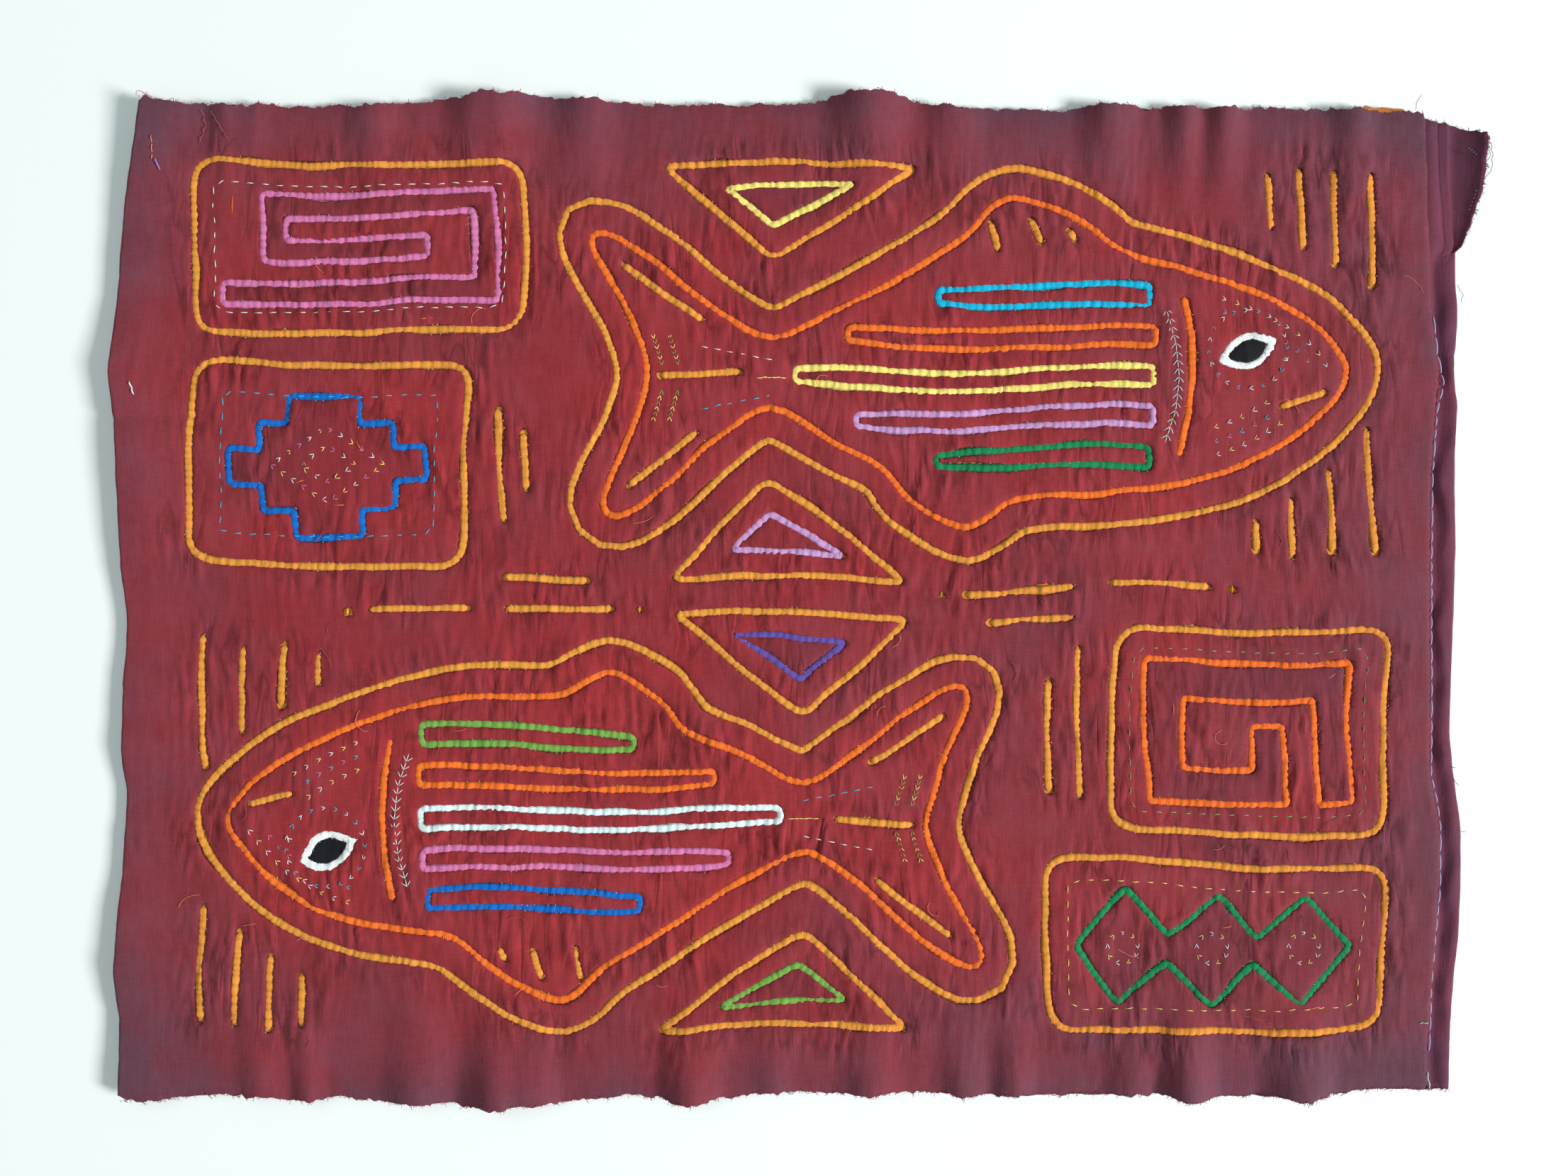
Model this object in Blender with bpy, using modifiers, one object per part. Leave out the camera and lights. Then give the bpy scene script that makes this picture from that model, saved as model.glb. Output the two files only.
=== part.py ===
"""Mola panel: a reverse-applique cloth panel lying flat, modelled in metres with +Z up.

The origin is the middle of the panel's box, on the surface it lies on. X runs along the long side and
Y towards the top edge. Sizes below are in millimetres and become metres where points are made.
"""

import math

import bmesh
import bpy

MM = 0.001

# Cloth layers: every cloth is modelled one thickness thick, with a small gap to the next
SHEET = 1.0
GAP = 0.3
BASE_LEVEL = SHEET / 2
AMBER_LEVEL = BASE_LEVEL + SHEET + GAP
TOP_LEVEL = AMBER_LEVEL + SHEET + GAP
LINE = 2.8

# Uneven outline of the panel, from corner to corner
LEFT_EDGE = (  # y, x of the left fold
    (-157.2, -213.2), (-132.1, -213.2), (-117, -214.6), (-99.7, -213.7), (-86.9, -212.5), (-61.1, -211),
    (-48.1, -212.5), (-25.6, -212.1), (-9.5, -211), (-3, -211), (5.6, -212.3), (26.9, -213.2),
    (44.2, -213.7), (55.9, -214.2), (71.8, -215.9), (88, -214.2), (109.5, -212.5), (125.7, -211),
    (141.6, -208.3), (151.3, -206.4), (158.3, -205.6),
)
SEAM_EDGE = (  # y, x of the top cloth's right edge, sewn down on the base cloth's hem
    (-154.5, 198.5), (-140.6, 198.1), (-135.6, 198.5), (-121.5, 199.6), (-108, 200.8), (-90.5, 201.9),
    (-82, 202.3), (-72.1, 202.1), (-63.6, 200.8), (-55, 199), (-31.9, 199.3), (-11.9, 199.1), (10.5, 199),
    (38.8, 199.4), (51.4, 200.3), (64.4, 201.2), (72.5, 202.3), (79.4, 201), (86.4, 200.3), (92.9, 199.6),
    (153.5, 197.6),
)
FOLD_EDGE = (  # y, x of the base cloth's fold at the right
    (-151.6, 205.3), (-137, 205.6), (-121.9, 206.6), (-106.9, 208.2), (-91.9, 209.1), (-71, 209.1),
    (-53.9, 206.6), (-42.9, 205.6), (-11.9, 206.6), (19, 207.5), (33, 207.1), (52.5, 207.3), (66.4, 208.4),
    (70.7, 206.8), (93.1, 208.2), (103, 207.5), (111.1, 207.5),
)
BOTTOM_EDGE = (  # x, y of the raw bottom edge
    (-213.2, -157.2), (-197.5, -156.7), (-176.2, -155.4), (-158.9, -157.2), (-137.3, -156.7),
    (-127.7, -157.9), (-113.8, -158.3), (-101, -158.9), (-79.4, -158.3), (-57.9, -156.5), (-50.7, -155.6),
    (-42.6, -156.5), (-35.6, -157.6), (-25.5, -157), (-18.6, -155.6), (-5.5, -154.5), (14.4, -155.1),
    (39.6, -155.1), (72.8, -155.6), (97.9, -155.8), (113, -155.1), (122.9, -156.9), (133, -156.5),
    (150.9, -155.6), (159.9, -157), (168, -155.6), (181, -153.8), (196.1, -154.1), (205.3, -153.8),
)
TOP_EDGE = (  # x, y of the raw top edge
    (-205.6, 158.3), (-192.1, 155.6), (-176.2, 155.9), (-163.1, 155.6), (-139.6, 155.4), (-122.3, 156.4),
    (-101, 158), (-80.5, 158.7), (-68.6, 157.3), (-50.7, 156.4), (-30.7, 156), (-10.5, 156.2), (1.4, 156.4),
    (14.4, 158.7), (25.4, 158.9), (34.6, 157.6), (39.6, 156), (49.5, 155.1), (64.5, 154.6), (79.5, 154.4),
    (106.5, 154.9), (120.8, 154.9), (133, 154), (148.9, 155.1), (158.1, 154.6), (172.9, 154),
    (191.1, 153.5), (197.6, 153.5),
)

# Waves of the raw edges: centre x, half width, height at the edge
TOP_WAVES = (
    (-179.8, 10, 2.4), (-170.8, 9, 1.4), (-133.7, 14, 3.0), (-104.5, 13, 3.6), (-94.4, 18, 5.8),
    (-66.4, 13, 3.0), (22.3, 18, 6.3), (49.2, 12, 2.5), (97.5, 14, 4.0), (121.1, 10, 3.0), (134.5, 12, 4.0),
    (173.8, 12, 3.4),
)
BOTTOM_WAVES = (
    (-168.5, 12, 2.4), (-153.9, 9, 2.2), (-120.3, 14, 3.4), (-94.4, 18, 5.8), (-82.1, 12, 3.6),
    (-33.8, 14, 4.8), (-8, 10, 1.6), (22.3, 13, 3.0), (52.6, 12, 2.6), (67.2, 12, 3.0), (104.2, 11, 2.5),
    (122.2, 14, 5.4), (157, 15, 5.2),
)
WAVE_FOOT_Y = 141.5
LEFT_LIFT = (  # y, extra height of the left fold
    (-156, 1.6), (-131, 0.6), (-116, 1.8), (-86, 0.4), (-60, 0.0), (-47, 0.9), (-9, 0.0), (27, 1.2),
    (72, 2.6), (95, 0.9), (125, 1.6), (157, 3.2),
)

# Left side, as inset from the fold and height: the top cloth goes round the fold, the others end inside
TOP_HEM = (
    (8.0, 0.5), (4.0, 0.5), (1.5, 0.55), (0.5, 1.0), (0.0, 1.9), (0.5, 2.8), (1.5, 3.3), (4.0, 3.35),
    (8.8, 3.1),
)
AMBER_HEM = ((2.4, AMBER_LEVEL), (4.0, AMBER_LEVEL), (8.8, AMBER_LEVEL))
BASE_HEM = ((8.8, BASE_LEVEL),)
HEM_REACH = 13.8

# Columns and rows of the sheets: the design lies flat between them
FLAT_X = (-196.5, 190.0)
COLUMNS = 46
ROWS = (
    -149, -141.5, -131, -116, -99, -86, -64, -47, -25, -9, 6, 27, 44, 56, 71, 90, 111, 117, 125, 132,
    141.5, 149,
)
FLAP_ROOT_Y = 111

# Right side of the base cloth, beyond the seam, as share of its width and height: up to the crease of the
# hem, then round the fold to its free end below, or out into the flap where the hem is open
HEM_RISE = ((0.0, 0.5), (0.24, 0.7), (0.44, 1.75), (0.62, 2.3), (0.84, 2.35))
HEM_UNDER = ((0.96, 1.95), (1.0, 1.4), (0.96, 0.85), (0.84, 0.5), (0.58, 0.5))
FLAP = (  # y of the row, x of the raw edge, height of the raw edge
    (FLAP_ROOT_Y, 207.5, 2.3), (117, 209.8, 2.8), (125, 212.6, 3.4), (131.1, 214.2, 3.9), (139.1, 216.3, 4.7),
    (146.1, 215.5, 5.3),
)

# Fish: outline through these points, nose to the right
FISH_OUTLINE = (
    (108, 2), (104, 9), (92, 20), (74, 29), (54, 35), (36, 39), (24, 48), (6, 56), (-3, 55), (-13, 45),
    (-34, 32), (-56, 19), (-74, 11), (-92, 21), (-112, 38), (-126, 46), (-130, 41), (-118, 20), (-112, 2),
    (-117, -16), (-127, -36), (-123, -42), (-108, -34), (-90, -19), (-74, -10), (-54, -20), (-38, -28),
    (-30, -38), (-16, -46), (-8, -44), (4, -38), (30, -37), (54, -33), (76, -26), (94, -15), (105, -5),
)
FISH_PLACES = (("upper", (65.5, 70.0), 1), ("lower", (-72.5, -68.6), -1))
BAND = 7.0
BARS = (  # name, y, x of the tail end, x of the gill end, height at the gill end
    ("bar_1", 26.0, -22, 45, 9.4), ("bar_2", 13.0, -50, 47, 9.0), ("bar_3", 0.0, -66, 47, 9.0),
    ("bar_4", -12.8, -46, 47, 9.0), ("bar_5", -25.4, -22, 45, 9.2),
)
GILL = ((55.5, 26), (58.5, 13), (59.5, 0), (58.5, -12), (55.0, -25))
EYE_CENTRE = (76.0, 9.0)
EYE_SIZE = (18.0, 10.4)
EYE_TILT = math.radians(22)
EYE_RIM = 2.2
MOUTH = ((101.0, -4.0), (86.5, -8.0))
TAIL_SLITS = (((-121, 37), (-97, 19)), ((-108, 1), (-84, 1)), ((-119, -33), (-96, -17)))
FIN_SLITS = (((19, 45.5), (21, 42)), ((7, 50), (10, 42)), ((-5, 49), (-3, 40)))

# Blocks that fill the corners, each with one motif
BLOCKS = (  # name, corners of the amber line, motif, centre of the motif
    ("spiral_block", ((-191, 84), (-88, 85), (-85, 137), (-189, 138)), "spiral", (-138.5, 111.0)),
    ("cross_block", ((-192, 12), (-107, 10), (-102, 74), (-190, 75)), "cross", (-148.0, 42.7)),
    ("chain_block", ((80, -136), (183, -135), (185, -84), (77, -82)), "chain", (131.0, -109.4)),
    ("hook_block", ((97, -73), (184, -74), (186, -9), (101, -10)), "hook", (142.0, -41.5)),
)
MOTIFS = {
    "spiral": (
        (-43, -17.5), (43, -17.5), (43, 17.5), (-30, 17.5), (-30, -3.5), (22, -3.5), (22, 3.5), (-23, 3.5),
        (-23, 10.5), (36, 10.5), (36, -10.5), (-43, -10.5),
    ),
    "cross": (
        (-11, -22.5), (11, -22.5), (11, -14), (21, -14), (21, -5.5), (31, -5.5), (31, 5.5), (21, 5.5),
        (21, 14), (11, 14), (11, 22.5), (-11, 22.5), (-11, 14), (-21, 14), (-21, 5.5), (-31, 5.5),
        (-31, -5.5), (-21, -5.5), (-21, -14), (-11, -14),
    ),
    "chain": (
        (-43, 0), (-29, -17.5), (-15, -4.2), (-1, -17.5), (13, -4.2), (28, -17.5), (43, 0), (28, 17.5),
        (14, 4.2), (1, 17.5), (-15, 4.2), (-29, 17.5),
    ),
    "hook": (
        (-32, -22.5), (11, -22.5), (11, 3), (1, 3), (1, -11.5), (-20, -11.5), (-20, 11), (21, 11),
        (21, -22.5), (32, -22.5), (32, 22.5), (-32, 22.5),
    ),
}
TRIANGLES = (  # name, corners of the amber line
    ("triangle_1", ((-8, 107), (38, 137), (-42, 137))),
    ("triangle_2", ((-41, 7), (33, 6), (-10, 38))),
    ("triangle_3", ((1, -105), (-44, -135), (35, -134))),
    ("triangle_4", ((34, -5), (-40, -4), (3, -37))),
)
TRIANGLE_BAND = 8.6

# Slits cut in the top cloth that show plain amber: the two ends of each
SLITS = (
    ((149, 118), (149, 135)), ((159, 112), (159, 136)), ((169, 106), (169, 135)), ((180, 98), (180, 134)),
    ((144, 16), (144, 26)), ((155, 14), (155, 33)), ((167, 15), (167, 42)), ((180, 14), (180, 54)),
    ((-156, -117), (-156, -133)), ((-166, -111), (-166, -135)), ((-176, -104), (-176, -134)),
    ((-187, -96), (-187, -133)), ((-151, -15), (-151, -25)), ((-162, -13), (-162, -32)),
    ((-174, -14), (-174, -41)), ((-187, -12), (-187, -53)),
    ((52, 3), (86, 4)), ((60, -6), (86, -6)), ((98, 5), (128, 4)), ((-59, -2), (-93, -3)),
    ((-67, 7), (-93, 7)), ((-105, -3), (-135, -2)),
)

# How far hand cutting bends the lines
WOBBLE = 0.9

COLOURS = {
    "red": (0.262, 0.036, 0.045), "core": (0.300, 0.050, 0.064), "amber": (0.610, 0.225, 0.014),
    "orange": (0.740, 0.145, 0.018), "blue": (0.010, 0.100, 0.480), "pink": (0.610, 0.160, 0.380),
    "lilac": (0.420, 0.240, 0.560), "green": (0.014, 0.270, 0.095), "leaf": (0.165, 0.430, 0.075),
    "yellow": (0.760, 0.680, 0.130), "turquoise": (0.012, 0.480, 0.660), "purple": (0.110, 0.055, 0.330),
    "ice": (0.520, 0.740, 0.800), "white": (0.760, 0.740, 0.720), "black": (0.012, 0.010, 0.013),
}
BAR_COLOURS = {
    "upper": ("turquoise", "orange", "yellow", "lilac", "green"),
    "lower": ("blue", "pink", "ice", "orange", "leaf"),
}
BLOCK_COLOURS = {
    "spiral_block": "pink", "cross_block": "blue", "chain_block": "green", "hook_block": "orange",
}
TRIANGLE_COLOURS = {
    "triangle_1": "yellow", "triangle_2": "lilac", "triangle_3": "leaf", "triangle_4": "purple",
}


def interpolated(table, at):
    """The second column of a table at a value of its first, on straight lines between the rows."""
    if at <= table[0][0]:
        return table[0][1]
    for (a, low), (b, high) in zip(table, table[1:]):
        if at <= b:
            return low + (high - low) * (at - a) / (b - a)
    return table[-1][1]


def eased(share):
    """A smooth step from 0 to 1."""
    share = min(1.0, max(0.0, share))
    return share * share * (3 - 2 * share)


def edge_wave(x, y):
    """Height of the raw edges' waves, which start outside the design."""
    edge, waves = (TOP_EDGE, TOP_WAVES) if y > 0 else (BOTTOM_EDGE, BOTTOM_WAVES)
    reach = eased((abs(y) - WAVE_FOOT_Y) / (abs(interpolated(edge, x)) - WAVE_FOOT_Y))
    height = 0.0
    for centre, half_width, crest in waves:
        offset = abs(x - centre) / half_width
        if offset < 1:
            height += crest * (1 + math.cos(math.pi * offset)) / 2
    return height * reach


def left_lift(inset, y):
    """Extra height of the panel beside its left fold."""
    return interpolated(LEFT_LIFT, y) * (1 - eased(inset / HEM_REACH))


def hand_cut(x, y):
    """A point of the design, moved a little as scissors in the hand would."""
    across = math.sin(0.071 * y + 0.9) + 0.6 * math.sin(0.11 * x + 0.05 * y)
    along = math.sin(0.063 * x + 1.7) + 0.6 * math.sin(0.09 * y - 0.04 * x + 0.5)
    return x + WOBBLE * across, y + WOBBLE * along


def anticlockwise(loop):
    """The loop's points, turned round if they run clockwise."""
    area = sum(a[0] * b[1] - b[0] * a[1] for a, b in zip(loop, loop[1:] + loop[:1]))
    return loop if area > 0 else loop[::-1]


def parallel(loop, distance):
    """The closed loop moved sideways, outwards if distance is positive, with mitred corners."""
    moved = []
    for before, here, after in zip(loop[-1:] + loop[:-1], loop, loop[1:] + loop[:1]):
        first = math.atan2(here[1] - before[1], here[0] - before[0])
        second = math.atan2(after[1] - here[1], after[0] - here[0])
        half_turn = (second - first + math.pi) % (2 * math.pi) / 2 - math.pi / 2
        outwards = first + half_turn - math.pi / 2
        reach = distance / max(0.4, math.cos(half_turn))
        moved.append((here[0] + reach * math.cos(outwards), here[1] + reach * math.sin(outwards)))
    return moved


def smooth(points, steps):
    """A closed Catmull-Rom curve through the points."""
    curve = []
    count = len(points)
    for i in range(count):
        a, b, c, d = (points[(i + k) % count] for k in (-1, 0, 1, 2))
        for step in range(steps):
            t = step / steps
            curve.append(tuple(
                b[k] + t * (c[k] - a[k] + t * (2 * a[k] - 5 * b[k] + 4 * c[k] - d[k]
                + t * (3 * b[k] - a[k] - 3 * c[k] + d[k]))) / 2
                for k in (0, 1)
            ))
    return curve


def rounded(corners, radius, steps=3):
    """A closed outline with each corner turned into a short curve."""
    outline = []
    count = len(corners)
    for i in range(count):
        before, here, after = corners[i - 1], corners[i], corners[(i + 1) % count]
        ends = []
        for other in (before, after):
            length = math.dist(here, other)
            share = min(0.4, radius / length)
            ends.append((here[0] + share * (other[0] - here[0]), here[1] + share * (other[1] - here[1])))
        for step in range(steps + 1):
            t = step / steps
            outline.append(tuple(
                (1 - t) ** 2 * ends[0][k] + 2 * t * (1 - t) * here[k] + t * t * ends[1][k] for k in (0, 1)
            ))
    return outline


def slot(start, end, width, steps=3):
    """The outline of a slit with round ends, from start to end."""
    angle = math.atan2(end[1] - start[1], end[0] - start[0])
    outline = []
    for centre, turn in ((end, -math.pi / 2), (start, math.pi / 2)):
        for step in range(steps + 1):
            a = angle + turn + math.pi * step / steps
            outline.append((centre[0] + width / 2 * math.cos(a), centre[1] + width / 2 * math.sin(a)))
    return outline


def lens(centre, size, tilt, steps=7):
    """A pointed oval."""
    outline = []
    for side in (1, -1):
        for step in range(steps):
            t = step / steps
            x = side * size[0] / 2 * (1 - 2 * t)
            y = side * size[1] / 2 * math.sin(math.pi * t) ** 0.85
            outline.append((
                centre[0] + x * math.cos(tilt) - y * math.sin(tilt),
                centre[1] + x * math.sin(tilt) + y * math.cos(tilt),
            ))
    return outline


def bar_corners(y, tail_x, gill_x, height):
    """Corners of one bar's cut line: full height at the gill, narrowing towards the tail."""
    half = height / 2 - LINE / 2
    upper = [(gill_x, y + half), (tail_x + 14, y + 0.85 * half), (tail_x, y + 0.62 * half)]
    return [(x, 2 * y - top) for x, top in reversed(upper)] + upper


class CutLine:
    """A closed line cut through cloth by hand, which can be drawn any distance outside or inside."""

    def __init__(self, corners, radius=0.0, steps=3, centre=(0, 0), facing=1):
        self.corners = anticlockwise([(centre[0] + facing * x, centre[1] + facing * y) for x, y in corners])
        self.radius = radius
        self.steps = steps

    def at(self, offset):
        """The loop this far outside the line, or inside it if negative."""
        loop = parallel(self.corners, offset) if offset else self.corners
        if self.radius:
            loop = rounded(loop, max(0.4, self.radius + offset), self.steps)
        return [hand_cut(x, y) for x, y in loop]


def cotton(name, colour):
    """The piece's own material: plain dyed cotton."""
    dyed = bpy.data.materials.new(f"{name}_cotton")
    dyed.use_nodes = True
    shader = dyed.node_tree.nodes["Principled BSDF"]
    shader.inputs["Base Color"].default_value = (*COLOURS[colour], 1)
    shader.inputs["Roughness"].default_value = 0.9
    shader.inputs["Metallic"].default_value = 0.0
    dyed.diffuse_color = (*COLOURS[colour], 1)
    return dyed


def flat_curve(name, loops, thickness):
    """A 2D curve filled between its loops, inner loops being holes."""
    curve = bpy.data.curves.new(name, "CURVE")
    curve.dimensions = "2D"
    curve.fill_mode = "BOTH"
    curve.extrude = thickness * MM / 2
    for loop in loops:
        spline = curve.splines.new("POLY")
        spline.points.add(len(loop) - 1)
        for point, (x, y) in zip(spline.points, loop):
            point.co = (x * MM, y * MM, 0, 1)
        spline.use_cyclic_u = True
    return bpy.data.objects.new(name, curve)


def flat_piece(name, loops, colour):
    """A piece of cloth lying flat in the level of the top cloth."""
    piece = flat_curve(name, loops, SHEET)
    piece.location.z = TOP_LEVEL * MM
    piece.data.materials.append(cotton(name, colour))
    cloths.objects.link(piece)


def inlay(name, line, colour):
    """The strip of coloured cloth that shows along a cut line."""
    half = LINE / 2 - GAP
    flat_piece(name, (line.at(half), line.at(-half)), colour)


def lofted_cloth(name, sheets, colour):
    """A cloth of one thickness: quads between the neighbouring rows of each sheet of points."""
    cloth = bmesh.new()
    for rows in sheets:
        lines = [[cloth.verts.new([value * MM for value in point]) for point in row] for row in rows]
        for low, high in zip(lines, lines[1:]):
            for i in range(len(low) - 1):
                cloth.faces.new((low[i], low[i + 1], high[i + 1], high[i]))
    bmesh.ops.remove_doubles(cloth, verts=cloth.verts, dist=1e-5)
    bmesh.ops.dissolve_limit(cloth, angle_limit=math.radians(0.2), verts=cloth.verts, edges=cloth.edges)
    bmesh.ops.recalc_face_normals(cloth, faces=cloth.faces)
    mesh = bpy.data.meshes.new(name)
    cloth.to_mesh(mesh)
    cloth.free()
    piece = bpy.data.objects.new(name, mesh)
    thicken = piece.modifiers.new("thickness", "SOLIDIFY")
    thicken.thickness = SHEET * MM
    thicken.offset = 0
    thicken.use_even_offset = True
    mesh.materials.append(cotton(name, colour))
    cloths.objects.link(piece)
    return piece


def sheet_row(hem, level, near, y_at):
    """One row of points across a sheet: its left side, the flat field and its edge at the seam."""
    left = interpolated(LEFT_EDGE, near)
    first = max(FLAT_X[0], left + HEM_REACH)
    step = (FLAT_X[1] - first) / COLUMNS
    stations = [(left + inset, height) for inset, height in hem]
    stations += [(first + i * step, level) for i in range(COLUMNS + 1)]
    stations.append((interpolated(SEAM_EDGE, near), level))
    row = []
    for x, height in stations:
        y = y_at(x)
        row.append((x, y, height + edge_wave(x, y) + left_lift(x - left, y)))
    return row


def sheet_rows(hem, level):
    """All rows of a full sheet, from its raw bottom edge to its raw top edge."""
    rows = [sheet_row(hem, level, -155, lambda x: interpolated(BOTTOM_EDGE, x))]
    rows += [sheet_row(hem, level, y, lambda x, y=y: y) for y in ROWS]
    rows.append(sheet_row(hem, level, 155, lambda x: interpolated(TOP_EDGE, x)))
    return rows


def make_base_cloth():
    """The base cloth: a full sheet with its right side turned under, and opened into a flap at the top."""
    folded, opened = [], []
    for row in sheet_rows(BASE_HEM, BASE_LEVEL):
        seam_x, y, _ = row.pop()
        fold_x = interpolated(FOLD_EDGE, y) - SHEET / 2
        width = fold_x - seam_x
        row += [(seam_x + share * width, y, height) for share, height in HEM_RISE]
        if y < FLAP_ROOT_Y + 0.1:
            folded.append(row + [(seam_x + share * width, y, height) for share, height in HEM_UNDER])
        if y > FLAP_ROOT_Y - 0.1:
            raw_x = interpolated([(row_y, x) for row_y, x, _ in FLAP], y)
            raw_z = interpolated([(row_y, z) for row_y, _, z in FLAP], y)
            crease = row[-1]
            reach = 1 if y > FLAP_ROOT_Y + 0.1 else 0
            opened.append(row + [
                (
                    crease[0] + reach * share * (raw_x - crease[0]), y,
                    crease[2] + reach * share * (raw_z - crease[2]),
                )
                for share in (0.5, 1.0)
            ])
    lofted_cloth("base_cloth", (folded, opened), "red")


def cut_windows(cloth, loops):
    """Cuts the loops through the cloth with one cutter."""
    outlines = flat_curve("window_outlines", loops, 12)
    cutters.objects.link(outlines)
    bpy.context.view_layer.update()
    graph = bpy.context.evaluated_depsgraph_get()
    mesh = bpy.data.meshes.new_from_object(outlines.evaluated_get(graph))
    welded = bmesh.new()
    welded.from_mesh(mesh)
    bmesh.ops.remove_doubles(welded, verts=welded.verts, dist=1e-6)
    bmesh.ops.recalc_face_normals(welded, faces=welded.faces)
    welded.to_mesh(mesh)
    welded.free()
    cutter = bpy.data.objects.new("windows", mesh)
    cutter.matrix_world = outlines.matrix_world
    bpy.data.objects.remove(outlines)
    cutters.objects.link(cutter)
    cutter.hide_render = True
    cutter.display_type = "WIRE"
    cut = cloth.modifiers.new("windows", "BOOLEAN")
    cut.operation = "DIFFERENCE"
    cut.object = cutter


def make_fish(name, centre, facing):
    """One fish: a red band, an orange line, and a red body with coloured bars. Returns its window."""
    def own(corners, radius=0.0):
        return CutLine(corners, radius, 2, centre, facing)

    outline = own(smooth(FISH_OUTLINE, 2))
    band = (outline.at(BAND + LINE / 2), outline.at(LINE / 2))
    flat_piece(f"{name}_fish_band", band, "red")
    inlay(f"{name}_fish_outline", outline, "orange")
    holes = [own(slot(a, b, LINE)).at(0) for a, b in TAIL_SLITS + FIN_SLITS + (MOUTH,)]
    for (bar, y, tail_x, gill_x, height), colour in zip(BARS, BAR_COLOURS[name]):
        line = own(bar_corners(y, tail_x, gill_x, height), 1.6)
        holes.append(line.at(LINE / 2))
        inlay(f"{name}_fish_{bar}_line", line, colour)
        flat_piece(f"{name}_fish_{bar}", (line.at(-LINE / 2),), "red")
    gill_back = [(x - LINE / 2, y) for x, y in GILL]
    gill_front = [(x + LINE / 2, y) for x, y in reversed(GILL)]
    gill = own(gill_back + gill_front)
    holes.append(gill.at(0))
    flat_piece(f"{name}_fish_gill", (gill.at(-GAP),), "orange")
    eye = own(lens(EYE_CENTRE, EYE_SIZE, EYE_TILT))
    holes.append(eye.at(0))
    flat_piece(f"{name}_fish_eye_white", (eye.at(-GAP), eye.at(-EYE_RIM)), "white")
    flat_piece(f"{name}_fish_eye_black", (eye.at(-EYE_RIM - GAP),), "black")
    flat_piece(f"{name}_fish_body", [outline.at(-LINE / 2)] + holes, "red")
    return outline.at(BAND + LINE * 1.5)


def make_filler(name, amber_line, line, colour):
    """One filler: a red band, a coloured line and its core. Returns its window."""
    flat_piece(f"{name}_band", (amber_line.at(-LINE / 2), line.at(LINE / 2)), "red")
    inlay(f"{name}_line", line, colour)
    flat_piece(f"{name}_core", (line.at(-LINE / 2),), "core")
    return amber_line.at(LINE / 2)


def make_block(name, corners, motif, centre):
    """A four-sided filler round one of the motifs."""
    return make_filler(
        name, CutLine(corners, 9), CutLine(MOTIFS[motif], 1.5, 1, centre), BLOCK_COLOURS[name],
    )


def make_triangle(name, corners):
    """A three-sided filler round a smaller triangle."""
    core = parallel(anticlockwise(list(corners)), -TRIANGLE_BAND)
    return make_filler(name, CutLine(corners, 4, 2), CutLine(core, 1.5, 2), TRIANGLE_COLOURS[name])


for old in list(bpy.data.objects):
    bpy.data.objects.remove(old)
cloths = bpy.data.collections.new("mola_panel")
cutters = bpy.data.collections.new("cutters")
for collection in (cloths, cutters):
    bpy.context.scene.collection.children.link(collection)

make_base_cloth()
lofted_cloth("amber_cloth", (sheet_rows(AMBER_HEM, AMBER_LEVEL),), "amber")
top_cloth = lofted_cloth("top_cloth", (sheet_rows(TOP_HEM, TOP_LEVEL),), "red")
windows = [make_fish(*fish) for fish in FISH_PLACES]
windows += [make_block(*block) for block in BLOCKS]
windows += [make_triangle(*triangle) for triangle in TRIANGLES]
windows += [CutLine(slot(start, end, LINE)).at(0) for start, end in SLITS]
cut_windows(top_cloth, windows)
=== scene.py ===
"""The mola panel's looks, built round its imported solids. Lengths in the sections are millimetres."""
import math
import random

import bpy
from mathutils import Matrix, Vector, kdtree, noise
from mathutils.geometry import delaunay_2d_cdt


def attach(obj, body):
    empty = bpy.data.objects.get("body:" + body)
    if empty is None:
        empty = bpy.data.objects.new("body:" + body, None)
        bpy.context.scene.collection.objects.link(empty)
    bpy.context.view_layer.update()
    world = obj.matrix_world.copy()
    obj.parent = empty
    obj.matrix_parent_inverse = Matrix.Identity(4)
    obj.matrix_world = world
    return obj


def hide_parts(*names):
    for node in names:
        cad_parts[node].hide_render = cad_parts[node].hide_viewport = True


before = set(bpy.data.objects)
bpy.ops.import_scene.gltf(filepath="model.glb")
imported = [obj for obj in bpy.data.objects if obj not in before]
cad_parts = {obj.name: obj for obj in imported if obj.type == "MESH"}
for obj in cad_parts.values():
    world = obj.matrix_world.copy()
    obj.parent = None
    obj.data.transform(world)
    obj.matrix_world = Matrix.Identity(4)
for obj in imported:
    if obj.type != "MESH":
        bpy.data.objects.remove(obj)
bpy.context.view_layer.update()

# The base cloth: dark red cotton under the whole panel, raw above and below. Along the right it is turned
# under in a soft roll beside the seam, and its top corner is unpicked and opened out as a raw-edged flap.
MM = 0.001
LEFT_EDGE = (  # y, x of the left fold
    (-157.2, -213.2), (-132.1, -213.2), (-117, -214.6), (-99.7, -213.7), (-86.9, -212.5), (-61.1, -211),
    (-48.1, -212.5), (-25.6, -212.1), (-9.5, -211), (-3, -211), (5.6, -212.3), (26.9, -213.2),
    (44.2, -213.7), (55.9, -214.2), (71.8, -215.9), (88, -214.2), (109.5, -212.5), (125.7, -211),
    (141.6, -208.3), (151.3, -206.4), (158.3, -205.6),
)
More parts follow.
